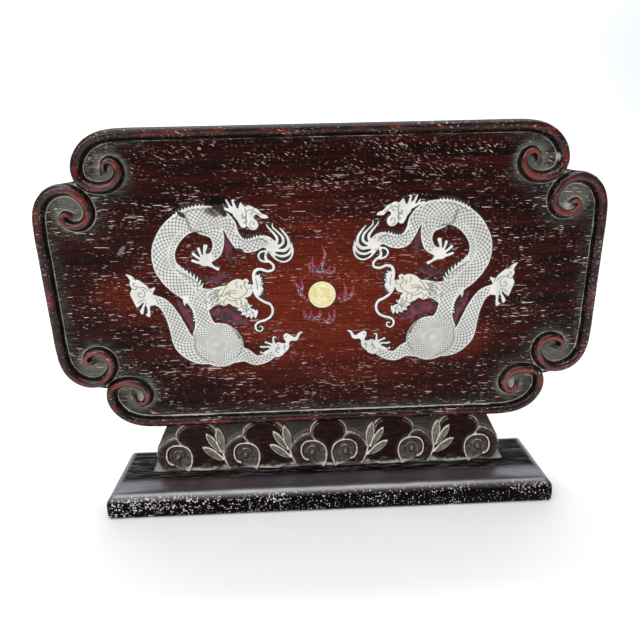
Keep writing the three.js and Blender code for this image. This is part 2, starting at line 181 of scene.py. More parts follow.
def make_piece(name, points, faces, finish, layers=None, crease=50):
    """A mesh in the part's frame from points in millimetres, which rides on the part's one body."""
    mesh = bpy.data.meshes.new(name)
    mesh.from_pydata(np.asarray(points, float) * MM, [], faces)
    mesh.validate()
    for key, values in (layers or {}).items():
        mesh.attributes.new(key, "FLOAT", "POINT").data.foreach_set("value", np.asarray(values, np.float32))
    mesh.polygons.foreach_set("use_smooth", [True] * len(mesh.polygons))
    mesh.set_sharp_from_angle(angle=math.radians(crease))
    mesh.materials.append(finish.material)
    piece = bpy.data.objects.new(name, mesh)
    bpy.context.scene.collection.objects.link(piece)
    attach(piece, "root")
    return piece


def box_of(node):
    """A CAD node's lowest and highest corners in millimetres."""
    low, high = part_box(node)
    return np.array(low) / MM, np.array(high) / MM


def ring_round(half_x, half_y, corner, counts):
    """A rectangle with round corners, as places, counts being the steps along x and along y."""
    places = []
    centre_x, centre_y = half_x - corner, half_y - corner
    for turn, (side_x, side_y) in enumerate([(1, 1), (-1, 1), (-1, -1), (1, -1)]):
        for step in range(4):
            angle = (turn + step / 3) * math.pi / 2
            places.append((side_x * centre_x + corner * math.cos(angle),
                           side_y * centre_y + corner * math.sin(angle)))
        run = 2 * (centre_x if turn % 2 == 0 else centre_y)
        ahead_x, ahead_y = [(-1, 0), (0, -1), (1, 0), (0, 1)][turn]
        start = places[-1]
        for step in range(1, counts[turn % 2]):
            reach = run * step / counts[turn % 2]
            places.append((start[0] + ahead_x * reach, start[1] + ahead_y * reach))
    return np.array(places)


plinth_low, plinth_high = box_of("plinth")
plinth_half = (plinth_high - plinth_low)[:2] / 2
plinth_top = plinth_high[2]
nose_radius = 6.0
plan_corner = 2.4
plan_pitch = 2.6
plan_counts = [round(2 * half / plan_pitch) for half in plinth_half]
edge_profile = [(1.9, 0.0), (0.7, 0.35), (0.1, 1.3), (0.0, 2.6), (-0.1, 4.4), (0.0, 6.4)]
for step in range(1, 9):
    angle = step / 8 * math.pi / 2
    drop = nose_radius * (1 - math.sin(angle))
    edge_profile.append((nose_radius * (1 - math.cos(angle)), plinth_top - drop))
points, faces = [], []
for inset, z in edge_profile:
    places = ring_round(*(plinth_half - inset), max(plan_corner - inset, 0.5), plan_counts)
    points.extend(np.column_stack([places, np.full(len(places), z)]))
count = len(places)
for level in range(len(edge_profile) - 1):
    faces += ring_wall(count, level * count, (level + 1) * count)
faces.extend(face[::-1] for face in fill_in([point[:2] for point in points[:count]]))
top_start = (len(edge_profile) - 1) * count
top_loop = [point[:2] for point in points[top_start:]]
inner_x = np.arange(-plinth_half[0] + 8, plinth_half[0] - 7, plan_pitch)
inner_y = np.arange(-plinth_half[1] + 8, plinth_half[1] - 7, 2.0)
inner = [(x, y) for x in inner_x for y in inner_y]
faces.extend([[top_start + corner for corner in face] for face in fill_in(top_loop, inner)])
points.extend((x, y, plinth_top) for x, y in inner)
points = np.array(points, float)
worn = 0.16 * wander(points, 16) + 0.07 * wander(points, 5, 3.0)
inward = np.column_stack([np.zeros(len(points)), np.sign(points[:, 1]), np.ones(len(points))])
inward[:, 1] *= (np.abs(points[:, 1]) > plinth_half[1] - 3) * 0.6
inward[:, 2] *= points[:, 2] > 4
points -= inward * (0.16 + worn)[:, None] * (points[:, 2] > 2)[:, None]
apron_low, apron_high = box_of("apron")
beyond = np.maximum(np.maximum(apron_low[0] - points[:, 0], points[:, 0] - apron_high[0]), 0)
before = np.maximum(apron_low[1] + 3.2 - points[:, 1], points[:, 1] - apron_high[1])
near_apron = np.exp(-np.hypot(np.maximum(before, 0), beyond) / 2.2) * (points[:, 2] > plinth_top - 1.5)
near_apron *= np.where(points[:, 1] > apron_high[1] - 1, 0.3, 1)
inset_at = (plinth_half - np.abs(points[:, :2])).min(axis=1)
from_front = points[:, 1] + plinth_half[1]
flat_top = np.clip((from_front - 13) / 4, 0, 1) * np.clip((inset_at - 3.5) / 2, 0, 1)
nose = np.clip((points[:, 2] - plinth_top + 3.6) / 3, 0, 1) * (1 - flat_top)
at_end = np.abs(points[:, 0]) - plinth_half[0]
without_pores = np.clip(np.maximum((points[:, 2] - plinth_top + 1.9) / 1.5, at_end / 0.8 + 2.2), 0, 1)
without_pores = np.maximum(without_pores, 0.6 * (points[:, 1] > plinth_half[1] - 2))


def rosewood(name, deep, warm):
    """Rosewood without its pores: its finish, colour, roughness and height."""
    wood = Finish(name)
    broad = wood.clouds((120, 9, 7), detail=4.0)
    streak = wood.clouds((34, 1.3, 1.1), (7, 3, 1), detail=4.0, rough=0.65)
    colour = wood.tint((broad * 0.9 + streak * 0.8 - 0.4).ramp(0.2, 0.8), deep, warm)
    thread = wood.clouds((24, 0.8, 0.5), (2, 5, 3), detail=3.0, rough=0.7)
    colour = wood.tint(thread.ramp(0.48, 0.62) * 0.8, colour, deep)
    return wood, colour, 0.30 + streak * 0.16, streak * 0.4


def pores(wood, size, amount, girth, turn=0.0):
    """The wood's open pores, 1 in a pore, and a number by which they differ. They lie in cells of a size
    along x, y and z, turned about y; an amount of the cells has one, girth being its share of the cell."""
    bend = wood.clouds((26, 9, 9), (3, 9, 4), detail=1.0)
    scatter = wood.clouds((9, 2, 1.3), (8, 2, 6), detail=1.0)
    bent = wood.node(
        "ShaderNodeCombineXYZ", {}, {"X": scatter * (0.52 * size[0]), "Y": 0.0, "Z": bend * 5.0})
    turned = wood.node(
        "ShaderNodeMapping", {"vector_type": "POINT"}, {"Vector": wood.place(), "Rotation": (0, turn, 0)})
    spot = wood.node("ShaderNodeVectorMath", {"operation": "MULTIPLY_ADD"},
                     {0: turned, 1: tuple(1 / part for part in size), 2: bent})
    cells = wood.node("ShaderNodeTexVoronoi", {}, {"Vector": spot, "Scale": 1.0}, "Distance")
    chance = wood.node("ShaderNodeSeparateColor", {}, {"Color": cells.beside("Color")}, "Red")
    patch = wood.clouds((26, 7, 9), (1, 5, 2), detail=2.0).ramp(0.3, 0.7)
    reach = (chance - 1.0 + amount) * girth * (patch * 0.6 + 0.55)
    return (reach - cells).ramp(0.0, 0.07), chance


plinth_wood, colour, roughness, height = rosewood(
    "plinth_rosewood", (0.0012, 0.0008, 0.0009), (0.0075, 0.0026, 0.0026))
holes, chance = pores(plinth_wood, (1.12, 30.0, 0.92), 1.2, 0.46)
holes = holes * (1.0 - plinth_wood.layer("without_pores"))
top_share, nose_share, dust = [plinth_wood.layer(name) for name in ("flat_top", "nose", "near_apron")]
mottle = plinth_wood.clouds((14, 2.2, 2.2), (2, 2, 8), detail=5.0, rough=0.7)
scrape = plinth_wood.clouds((11, 0.8, 0.8), (5, 1, 3), detail=4.0, rough=0.7)
colour = plinth_wood.coats(
    colour,
    (holes * (chance * 0.7 + 0.3), (0.76, 0.72, 0.68)),
    # painted highlight: a bluish tint over the nose and the front strip of the top, then reddish painted
    # glints in long patches along it
    (nose_share * 0.65, (0.040, 0.035, 0.050)),
    (plinth_wood.clouds((50, 4, 2), (1, 1, 9)).ramp(0.5, 0.75) * nose_share * 0.7, (0.060, 0.010, 0.012)),
    (top_share * (scrape.ramp(0.5, 0.66) * 0.8), (0.13, 0.13, 0.125)),
    ((dust * 1.5 - mottle * 1.2).ramp(0.0, 0.5), (0.36, 0.34, 0.30)))
roughness = roughness + top_share * 0.2 + dust * 0.3
sheen = nose_share * (plinth_wood.clouds((22, 5, 5), (3, 3, 3)) * 0.8 + 0.5)
plinth_wood.surface(colour, roughness, height - holes, 0.12, Specular_IOR_Level=0.04,
                    Coat_Weight=sheen.least(1.0), Coat_Roughness=0.34, Coat_IOR=2.6)
plinth = make_piece("plinth_bar", points, faces, plinth_wood, {
    "near_apron": near_apron, "flat_top": flat_top, "nose": nose, "without_pores": without_pores}, 60)
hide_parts("plinth")

# The panel is one rosewood board. Its edge is worked as a raised round bead, which leaves the straight sides
# at the corners and curls inward in pairs of scrolls; the field inside was cut back and scraped flat.
panel_low, panel_high = box_of("panel")
panel_half = (panel_high - panel_low)[[0, 2]] / 2
panel_middle = (panel_high + panel_low)[2] / 2
field_front = box_of("dragon_left")[0][1] + 0.15
bead_width = 5.8
bead_height = field_front - panel_low[1]
panel_back = panel_high[1]


def bell(gap, width):
    """1 where a distance is 0, falling away to both sides over a width."""
    return np.exp(-(gap / width) ** 2)


def smooth_line(controls, pitch):
    """Evenly spaced rows on a smooth line through chosen rows, whose first two columns are the place."""
    rows = np.asarray(controls, float)
    rows = np.vstack([2 * rows[0] - rows[1], rows, 2 * rows[-1] - rows[-2]])
    gaps = np.sqrt(np.hypot(*np.diff(rows[:, :2], axis=0).T))
    knots = np.concatenate([[0], np.cumsum(gaps)])
    runs = []
    for i in range(1, len(rows) - 2):
        a, b, c, d = knots[i - 1:i + 3]
        t = np.linspace(b, c, 20, endpoint=False)[:, None]
        first = (b - t) / (b - a) * rows[i - 1] + (t - a) / (b - a) * rows[i]
        second = (c - t) / (c - b) * rows[i] + (t - b) / (c - b) * rows[i + 1]
        third = (d - t) / (d - c) * rows[i + 1] + (t - c) / (d - c) * rows[i + 2]
        early = (c - t) / (c - a) * first + (t - a) / (c - a) * second
        late = (d - t) / (d - b) * second + (t - b) / (d - b) * third
        runs.append((c - t) / (c - b) * early + (t - b) / (c - b) * late)
    line = np.vstack([*runs, rows[-2]])
    run = np.concatenate([[0], np.cumsum(np.hypot(*np.diff(line[:, :2], axis=0).T))])
    at = np.linspace(0, run[-1], max(2, round(run[-1] / pitch) + 1))
    return np.column_stack([np.interp(at, run, column) for column in line.T])


def ways_along(line):
    """Unit directions along a line's rows."""
    ahead = np.gradient(line[:, :2], axis=0)
    return ahead / np.maximum(np.hypot(*ahead.T), 1e-9)[:, None]


# in from the side, down from the top, width: the bead over the broad corner, then round the side corner
broad_scroll = [
    (64, 2.9, 5.8), (55, 2.9, 5.8), (45, 3.3, 5.8), (38, 4.9, 5.8), (32, 8.5, 5.8), (27.8, 14.1, 5.8),
    (26.4, 20.1, 5.8), (27.8, 24.9, 5.6), (31.8, 27.7, 5.6), (37.4, 28.6, 5.6), (43, 27.3, 5.6),
    (46.5, 23.9, 5.3), (47.6, 20.1, 5.1), (46.2, 16.7, 4.8), (43.5, 15.3, 4.4), (41, 16.3, 4),
    (40.1, 18.3, 3.5)]
side_scroll = [
    (2.9, 62.3, 5.8), (2.9, 51.3, 5.8), (3.7, 41.8, 5.8), (6, 35.7, 5.8), (10.1, 31.3, 5.8),
    (15.5, 29.1, 5.8), (21.2, 29.3, 5.6), (25.8, 32.1, 5.6), (28.8, 36.3, 5.6), (29.6, 40.7, 5.6),
    (28.1, 44.7, 5.4), (24.6, 47.3, 5.2), (20.4, 47.5, 4.8), (17, 45.7, 4.4), (16, 43.1, 4),
    (17.3, 41.2, 3.6), (19, 41.7, 3.2)]
notch = (24.7, 24.8)
web_reach = 19.0


def at_corner(controls, side, top):
    """Controls in one corner of the panel, side and top being 1 or -1."""
    rows = np.array(controls, float)
    rows[:, 0] = side * (panel_half[0] - rows[:, 0])
    rows[:, 1] = top * (panel_half[1] - rows[:, 1])
    return rows


bead_runs = []
for top in (1, -1):
    left, right = at_corner(broad_scroll, -1, top), at_corner(broad_scroll, 1, top)
    bead_runs.append(np.vstack([left[::-1], right]))
for side in (1, -1):
    upper, lower = at_corner(side_scroll, side, 1), at_corner(side_scroll, side, -1)
    bead_runs.append(np.vstack([upper[::-1], lower]))
fine_runs = [smooth_line(run, 0.25) for run in bead_runs]
run_trees = []
for run in fine_runs:
    tree = kdtree.KDTree(len(run))
    for i, row in enumerate(run):
        tree.insert((row[0], row[1], 0), i)
    tree.balance()
    run_trees.append(tree)


def beads_at(spots):
    """For places on the panel: the bead's height, how far the place is from a bead's foot, and the share
    of the bead's half width at which it lies (1 and more is on the ground)."""
    rise = np.zeros(len(spots))
    away = np.full(len(spots), 99.0)
    across = np.full(len(spots), 9.0)
    for run, tree in zip(fine_runs, run_trees):
        for i, (x, z) in enumerate(spots):
            _, at, gap = tree.find((x, z, 0))
            half = run[at, 2] / 2
            share = gap / half
            if share < 1:
                full = bead_height * min(1.0, 1.4 * run[at, 2] / bead_width)
                rise[i] = max(rise[i], full * math.sqrt(max(0.0, 1 - share ** 2.2)))
            away[i] = min(away[i], gap - half)
            across[i] = min(across[i], share)
    return rise, away, across


def inside(loop, spots):
    """Which places lie inside a closed loop."""
    loop = np.asarray(loop)
    after = np.roll(loop, -1, axis=0)
    hit = np.zeros(len(spots), bool)
    for (x0, y0), (x1, y1) in zip(loop, after):
        crossed = (spots[:, 1] < y0) != (spots[:, 1] < y1)
        if crossed.any():
            edge = x0 + (spots[crossed, 1] - y0) * (x1 - x0) / (y1 - y0)
            hit[crossed] ^= spots[crossed, 0] < edge
    return hit


def corner_edge():
    """The panel's outline round its upper right corner: the beads' outer feet and the web at the notch."""
    parts = []
    for controls in (broad_scroll, side_scroll):
        line = smooth_line(at_corner(controls, 1, 1), 0.9)
        way = ways_along(line)
        out = np.column_stack([-way[:, 1], way[:, 0]]) * (1 if controls is broad_scroll else -1)
        parts.append(line[:, :2] + out * line[:, 2:3] / 2)
    corner = (panel_half[0] - notch[0], panel_half[1] - notch[1])
    broad, side = parts
    low = next(i for i in range(len(broad)) if broad[i, 1] < corner[1] + 0.7 and broad[i, 0] > corner[0] - 6)
    web = next(i for i in range(len(side)) if side[i, 0] < panel_half[0] - web_reach)
    return np.vstack([broad[:low], [corner], side[:web][::-1]])


quarter = corner_edge()
right_edge = np.vstack([quarter, (quarter * (1, -1))[::-1]])
outline = np.vstack([right_edge, (right_edge * (-1, 1))[::-1]])[::-1]
keep = np.hypot(*(outline - np.roll(outline, 1, axis=0)).T) > 0.2
outline = outline[keep]
rows = []
for run in bead_runs:
    line = smooth_line(run, 1.0)
    way = ways_along(line)
    out = np.column_stack([-way[:, 1], way[:, 0]])
    for share in (0, 0.3, 0.55, 0.75, 0.88, 0.965):
        for side in ((1,) if share == 0 else (1, -1)):
            gap = side * share * line[:, 2] / 2
            rows.append(np.column_stack([line[:, :2] + out * gap[:, None], np.abs(gap) - line[:, 2] / 2]))
    for beyond_foot in (0.05, 0.55, 1.3, 2.6, 4.6):
        for side in (1, -1):
            gap = side * (line[:, 2] / 2 + beyond_foot)
            rows.append(np.column_stack([line[:, :2] + out * gap[:, None], np.full(len(line), beyond_foot)]))
spots = np.vstack(rows)
ground_x = np.arange(-panel_half[0] + 10, panel_half[0] - 9, 5.0)
ground_z = np.arange(-panel_half[1] + 10, panel_half[1] - 9, 5.0)
ground = np.array([(x + (j % 2) * 2.5, z, 99.0) for j, z in enumerate(ground_z) for x in ground_x])
spots = np.vstack([spots, ground])
rim = kdtree.KDTree(len(outline))
for i, (x, z) in enumerate(outline):
    rim.insert((x, z, 0), i)
rim.balance()
_, away, _ = beads_at(spots[:, :2])
clear = inside(outline, spots[:, :2]) & (away > np.minimum(spots[:, 2], 5.5) - 0.12)
clear &= np.array([rim.find((x, z, 0))[2] > 0.55 or drop < -0.4 and rim.find((x, z, 0))[2] > 0.04
                   for x, z, drop in spots])
inner = spots[clear, :2]
seen, single = set(), []
for i, (x, z) in enumerate(inner):
    key = (round(x / 0.22), round(z / 0.22))
    if key not in seen:
        seen.add(key)
        single.append(i)
inner = inner[single]
front = np.vstack([outline, inner])
rise, away, across = beads_at(front)
rise[:len(outline)] = 0
groove = 0.28 * bell(away - 0.35, 0.4) * (away > 0)
flat = np.column_stack([front[:, 0], np.zeros(len(front)), front[:, 1]])
hand = 0.10 * wander(flat, 14) + 0.05 * wander(flat, 4, 5.0)
front_y = field_front - rise + groove - hand * np.clip(rise / 2, 0.35, 1)
front_y[:len(outline)] = field_front
points = [(x, y, z + panel_middle) for (x, z), y in zip(front, front_y)]
faces = [face[::-1] for face in fill_in(outline, inner)]
loop_count = len(outline)
step_in = np.roll(outline, -1, axis=0) - np.roll(outline, 1, axis=0)
step_in = np.column_stack([-step_in[:, 1], step_in[:, 0]]) / np.hypot(*step_in.T)[:, None]
levels = [(3.0, 0.0), (7.5, 0.05), (panel_back - field_front - 0.7, 0.1), (panel_back - field_front, 0.9)]
starts = [0]
for depth, inset in levels:
    starts.append(len(points))
    points.extend((x + inset * nx, field_front + depth, z + inset * nz + panel_middle)
                  for (x, z), (nx, nz) in zip(outline, step_in))
for begin, end in zip(starts, starts[1:]):
    faces += ring_wall(loop_count, begin, end)
back_loop = [(points[starts[-1] + i][0], points[starts[-1] + i][2]) for i in range(loop_count)]
faces.extend([[starts[-1] + corner for corner in face] for face in fill_in(back_loop)])
extra = len(points) - len(front)
eye_dust = np.zeros(len(front))
for x, z, wide in [(-108, 56, 4), (108, 56.5, 4.5), (121.5, 183.5, 3), (129, 158.5, 4)]:
    eye_dust = np.maximum(
        eye_dust, bell(np.hypot(front[:, 0] - x, front[:, 1] + panel_middle - z), wide))
near_eye = np.zeros(len(front))
for x, z in [(42, 20), (20, 40)]:
    far = np.hypot(np.abs(front[:, 0]) - panel_half[0] + x, np.abs(front[:, 1]) - panel_half[1] + z)
    near_eye = np.maximum(near_eye, np.exp(-(far / 13) ** 4))
layers = {"near_eye": near_eye, "foot": bell(away - 0.05, 0.32),
          "dust_line": bell(away - 0.7, 0.36), "eye_dust": eye_dust * (away > -0.4),
          "crest": np.clip(1 - across ** 2, 0, 1), "bead": np.clip(1 - away / 0.4, 0, 1),
          "pocket": np.exp(-np.maximum(away, 0) / 8) * (away > -0.2)}
layers = {key: np.concatenate([values, np.zeros(extra)]) for key, values in layers.items()}
layers["bead"][len(front):] = 1
layers["behind"] = np.clip((np.array(points)[:, 1] - field_front - 1) / 3, 0, 1)

panel_wood, colour, roughness, height = rosewood(
    "panel_rosewood", (0.0034, 0.0011, 0.0011), (0.056, 0.0068, 0.0048))
across_x = panel_wood.node("ShaderNodeSeparateXYZ", {}, {"Vector": panel_wood.place()}, "X")
up_z = across_x.beside("Z")


def oval(x, z, half_x, half_z):
    """1 in the middle of an oval on the panel's face, 0 at its edge and less beyond."""
    return 1.0 - ((across_x - x) / half_x) ** 2 - ((up_z - z) / half_z) ** 2


# A painted glow: an orange-red sheen of light laid over the middle of the field as colour, over the wood's
# own red.
painted_glow = panel_wood.clouds((70, 8, 6), (4, 4, 4), detail=4.0) * 1.7
painted_glow = (oval(0, 112, 118, 60) + painted_glow - 0.95).ramp(-0.2, 0.9)
grain = panel_wood.clouds((18, 0.9, 0.55), (9, 2, 6), detail=6.0, rough=0.75).ramp(0.36, 0.66)
rub = panel_wood.clouds((14, 5, 5), (6, 6, 1), detail=4.0)
mottle = panel_wood.clouds((5, 2.4, 2.4), (2, 8, 2), detail=5.0, rough=0.7)
scratch = panel_wood.clouds((7, 0.6, 0.5), (5, 8, 1), detail=4.0, rough=0.7)
lie = panel_wood.clouds((16, 16, 16), (5, 5, 5), detail=2.0)
crest_share, painted_foot_shade, line_share, pocket_share, eye_share, bead_share = [
    panel_wood.layer(name) for name in ("crest", "foot", "dust_line", "pocket", "near_eye", "bead")]
high_up = up_z.ramp(168.0, 190.0) * (1.0 - ((abs(across_x) - 78.0) / 30.0).ramp(0.0, 1.0))
grey = (pocket_share * 1.2 + mottle * 0.6 - high_up * 0.45 - 0.65).ramp(0.0, 0.9)
# Brighter red on the beads' crests and scroll tips: partly rubbed wear, partly a painted highlight.
rubbed_and_highlight = (crest_share * 1.3 + rub * 2.3 + eye_share * 0.42 - 2.2).ramp(0.0, 0.9)
shown = (1.0 - panel_wood.layer("behind") * 0.75) * (1.0 - bead_share * eye_share * 0.8)
shown = shown * (1.0 - bead_share * 0.3)
slanted_share = up_z.ramp(164.0, 184.0) * 0.85 + 0.15
holes, chance = pores(panel_wood, (5.2, 0.75, 0.52), 0.85, 0.45)
holes = holes * (1.15 - slanted_share) * shown
short_holes, short_chance = pores(panel_wood, (2.3, 0.7, 0.45), 0.8, 0.42)
slanted = pores(panel_wood, (2.9, 0.8, 0.6), 0.8, 0.50, math.radians(-28))[0] * slanted_share * shown
low = (57.0 - up_z).ramp(0.0, 13.0) + (abs(across_x) - 100.0).ramp(0.0, 20.0) * 0.6 + 0.2
line = line_share * 1.4 + mottle + lie * 0.9 + low * 0.45 + eye_share * 0.12 - 1.95
eye_line = panel_wood.layer("eye_dust") * 1.5 + mottle * 1.2 - 1.2
line = (line.ramp(0.0, 0.6) * 0.9).most(eye_line.ramp(0.0, 0.8) * 0.9)
scuff = 1.0 - ((across_x + 107.0) / 3.4) ** 2 - ((up_z - 141.0 - (across_x + 107.0) * 0.9) / 2.4) ** 2
colour = panel_wood.coats(
    colour,
    # painted glow: the sheen over the middle, then three brighter painted patches of it
    (painted_glow * (grain * 0.7 + 0.18), (0.165, 0.016, 0.0055)),
    *[(oval(*where).ramp(0.0, 1.0) * (grain * 0.45 + 0.08), (0.24, 0.027, 0.006))
      for where in [(-6, 108, 66, 40), (-109, 117, 22, 12), (74, 84, 24, 13)]],
    (grey * 0.8, (0.024, 0.025, 0.021)),
    (grey * scratch.ramp(0.49, 0.64) * 0.8, (0.15, 0.15, 0.128)),
    ((eye_share * pocket_share * 1.4 + mottle - 1.0).ramp(0.0, 0.7) * 0.8, (0.180, 0.190, 0.166)),
    (bead_share * 0.75, (0.0080, 0.0018, 0.0017)),
    (rubbed_and_highlight * 0.9, (0.20, 0.020, 0.009)),
    (short_holes * shown * 0.7, panel_wood.tint(short_chance, (0.16, 0.030, 0.015), (0.52, 0.25, 0.17))),
    (holes.most(slanted),
     panel_wood.tint(chance * (1.0 - painted_glow * 0.62), (0.40, 0.13, 0.075), (0.92, 0.80, 0.74))),
    # painted shade: a dark line in the crease at each bead's foot
    (painted_foot_shade * 0.8, (0.0025, 0.0015, 0.0014)),
    (line, (0.58, 0.57, 0.52)),
    ((scuff + scratch * 1.6 - 1.0).ramp(0.0, 0.8) * 0.6, (0.34, 0.27, 0.27)),
    ((oval(-53.5, 165.4, 6.5, 3.0) + mottle * 1.2 - 0.6).ramp(0.0, 0.5), (0.0030, 0.0022, 0.0020)))
roughness = roughness + line_share * 0.3 - crest_share * 0.04
panel_wood.surface(colour, roughness, height - holes - short_holes * 0.5 - slanted, 0.10,
                   Specular_IOR_Level=0.06, Coat_Weight=crest_share * (eye_share * 0.4 + 0.3) + 0.02,
                   Coat_Roughness=0.13, Coat_IOR=1.7)
panel = make_piece("panel_board", points, faces, panel_wood, layers, 55)
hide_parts("panel")

# The dragons are thin plates of mother-of-pearl, sawn to shape, let into the field and engraved: a net of
# scales within a plain edge, with curls, hair and claws cut as fine lines. The right one mirrors the left.
PLATE_PROUD, FLAME_PROUD, FILLER_PROUD = 0.15, 0.12, 0.07
plate_back = field_front + 0.85
filler_back = field_front + 0.5


class Drawing:
    """Shapes on a fine square net of places, each kept as the distance to its edge, below 0 inside."""

    def __init__(self, low, high, pitch):
        self.low, self.pitch = np.array(low, float), pitch
        self.x, self.y = [np.arange(a, b + pitch, pitch) for a, b in zip(low, high)]

    def blank(self, value):
        return np.full((len(self.x), len(self.y)), float(value))

    def along(self, line, reach=2.4):
        """Distance to the edge of a band along a line's rows, and the place along and across it."""
        gap, run, side = self.blank(9), self.blank(0), self.blank(0)
        way = ways_along(line)
        travel = np.concatenate([[0], np.cumsum(np.hypot(*np.diff(line[:, :2], axis=0).T))])
        for (x, y, width), (ax, ay), passed in zip(line, way, travel):
            i0, i1 = np.searchsorted(self.x, (x - width / 2 - reach, x + width / 2 + reach))
            j0, j1 = np.searchsorted(self.y, (y - width / 2 - reach, y + width / 2 + reach))
            dx = (self.x[i0:i1] - x)[:, None]
            dy = (self.y[j0:j1] - y)[None, :]
            near = np.hypot(dx, dy) - width / 2
            part = (slice(i0, i1), slice(j0, j1))
            closer = near < gap[part]
            gap[part][closer] = near[closer]
            run[part][closer] = (passed + dx * ax + dy * ay)[closer]
            side[part][closer] = (dy * ax - dx * ay)[closer]
        return gap, run, side

    def band(self, controls, pitch=0.35):
        return self.along(smooth_line(controls, pitch))[0]

    def bands(self, lists):
        gap = self.blank(9)
        for controls in lists:
            gap = np.minimum(gap, self.band(controls))
        return gap

    def round(self, x, y, radius):
        return np.hypot(self.x[:, None] - x, self.y[None, :] - y) - radius

    def loop(self, corners, smooth=2):
        """Distance to the edge of a closed loop whose corners are a little rounded."""
        loop = np.array(corners, float)
        for _ in range(smooth):
            after = np.roll(loop, -1, axis=0)
            loop = np.column_stack([0.8 * loop + 0.2 * after, 0.2 * loop + 0.8 * after]).reshape(-1, 2)
        closed = np.vstack([loop, loop[:1]])
        run = np.concatenate([[0], np.cumsum(np.hypot(*np.diff(closed, axis=0).T))])
        at = np.arange(0, run[-1], 0.25)
        rim = np.column_stack([np.interp(at, run, column) for column in closed.T] + [np.zeros(len(at))])
        gap = self.along(rim)[0]
        spots = np.column_stack([part.ravel() for part in np.meshgrid(self.x, self.y, indexing="ij")])
        within = inside(loop, spots).reshape(gap.shape)
        gap = np.minimum(gap, 2.4)
        return np.where(within, -gap, gap)

    def at(self, values, spots):
        """Values between the places of the net."""
        u = np.clip((spots[:, 0] - self.x[0]) / self.pitch, 0, len(self.x) - 1.001)
        v = np.clip((spots[:, 1] - self.y[0]) / self.pitch, 0, len(self.y) - 1.001)
        i, j = u.astype(int), v.astype(int)
        u, v = u - i, v - j
        low = values[i, j] * (1 - u) + values[i + 1, j] * u
        high = values[i, j + 1] * (1 - u) + values[i + 1, j + 1] * u
        return low * (1 - v) + high * v

    def edges(self, gap):
        """Closed loops of places along a shape's edge, with the shape on their left."""
        kind = (gap < 0).astype(int)
        case = kind[:-1, :-1] + 2 * kind[1:, :-1] + 4 * kind[1:, 1:] + 8 * kind[:-1, 1:]
        sides = {"s": (0, 0, 1, 0), "e": (1, 0, 1, 1), "n": (0, 1, 1, 1), "w": (0, 0, 0, 1)}
        turns = {1: ["sw"], 2: ["es"], 3: ["ew"], 4: ["ne"], 5: ["sw", "ne"], 6: ["ns"], 7: ["nw"], 8: ["wn"],
                 9: ["sn"], 10: ["es", "wn"], 11: ["en"], 12: ["we"], 13: ["se"], 14: ["ws"]}
        onward, places = {}, {}
        for i, j in np.argwhere((case > 0) & (case < 15)):
            for turn in turns[case[i, j]]:
                ends = []
                for side in turn:
                    a, b, c, d = sides[side]
                    key = (i + a, j + b, i + c, j + d)
                    if key not in places:
                        low, high = gap[key[0], key[1]], gap[key[2], key[3]]
                        t = low / (low - high)
                        places[key] = (self.x[key[0]] + t * (c - a) * self.pitch,
                                       self.y[key[1]] + t * (d - b) * self.pitch)
                    ends.append(key)
                onward[ends[0]] = ends[1]
        loops = []
        while onward:
            key = next(iter(onward))
            loop = []
            while key in onward:
                loop.append(places[key])
                key = onward.pop(key)
            loop = np.array(loop)
            for _ in range(2):
                loop = 0.5 * loop + 0.25 * np.roll(loop, 1, axis=0) + 0.25 * np.roll(loop, -1, axis=0)
            spread = np.hypot(*(loop - np.roll(loop, 1, axis=0)).T)
            loop = loop[spread > 0.3 * self.pitch]
            if len(loop) > 8:
                loops.append(loop)
        return loops

    def fill(self, gap, loops, inner):
        """Triangles over a shape, on the points of its loops and the inner ones."""
        spots = [Vector(point) for loop in loops for point in loop] + [Vector(point) for point in inner]
        links, start = [], 0
        for loop in loops:
            links += [(start + i, start + (i + 1) % len(loop)) for i in range(len(loop))]
            start += len(loop)
        places, _, faces, origins, _, _ = delaunay_2d_cdt(spots, links, [], 0, 1e-7)
        middles = np.array([
            [sum(places[corner][k] for corner in face) / 3 for k in (0, 1)] for face in faces])
        within = self.at(gap, middles) < 0
        return [[origins[corner][0] for corner in face] for face, use in zip(faces, within) if use]


def staggered_net(across, up, pitch):
    """Places in rows across and up, every second row moved by half a pitch."""
    return np.array([(a + (k % 2) * pitch / 2, b) for k, b in enumerate(up) for a in across])


def saw_out(drawing, gap, net, front_of, back):
    """A closed block sawn to a drawn shape: its points, its faces, the places drawn for its front and how
    many of them are on the rim. front_of takes places and that number to the front's points."""
    loops = drawing.edges(gap)
    rim_count = sum(len(loop) for loop in loops)
    spots = np.vstack([*loops, net])
    front = front_of(spots, rim_count)
    behind = front[:rim_count].copy()
    behind[:, 1] = back
    faces = drawing.fill(gap, loops, net)
    faces += [[len(front) + corner for corner in face[::-1]] for face in drawing.fill(gap, loops, [])]
    start = 0
    for loop in loops:
        faces += ring_wall(len(loop), len(front) + start, start)
        start += len(loop)
    return np.vstack([front, behind]), faces, spots, rim_count


def on_points(drawing, layers, spots, rim_count):
    """Drawn layers on a sawn block's points, 0 behind."""
    return {key: np.concatenate([drawing.at(values, spots), np.zeros(rim_count)])
            for key, values in layers.items()}


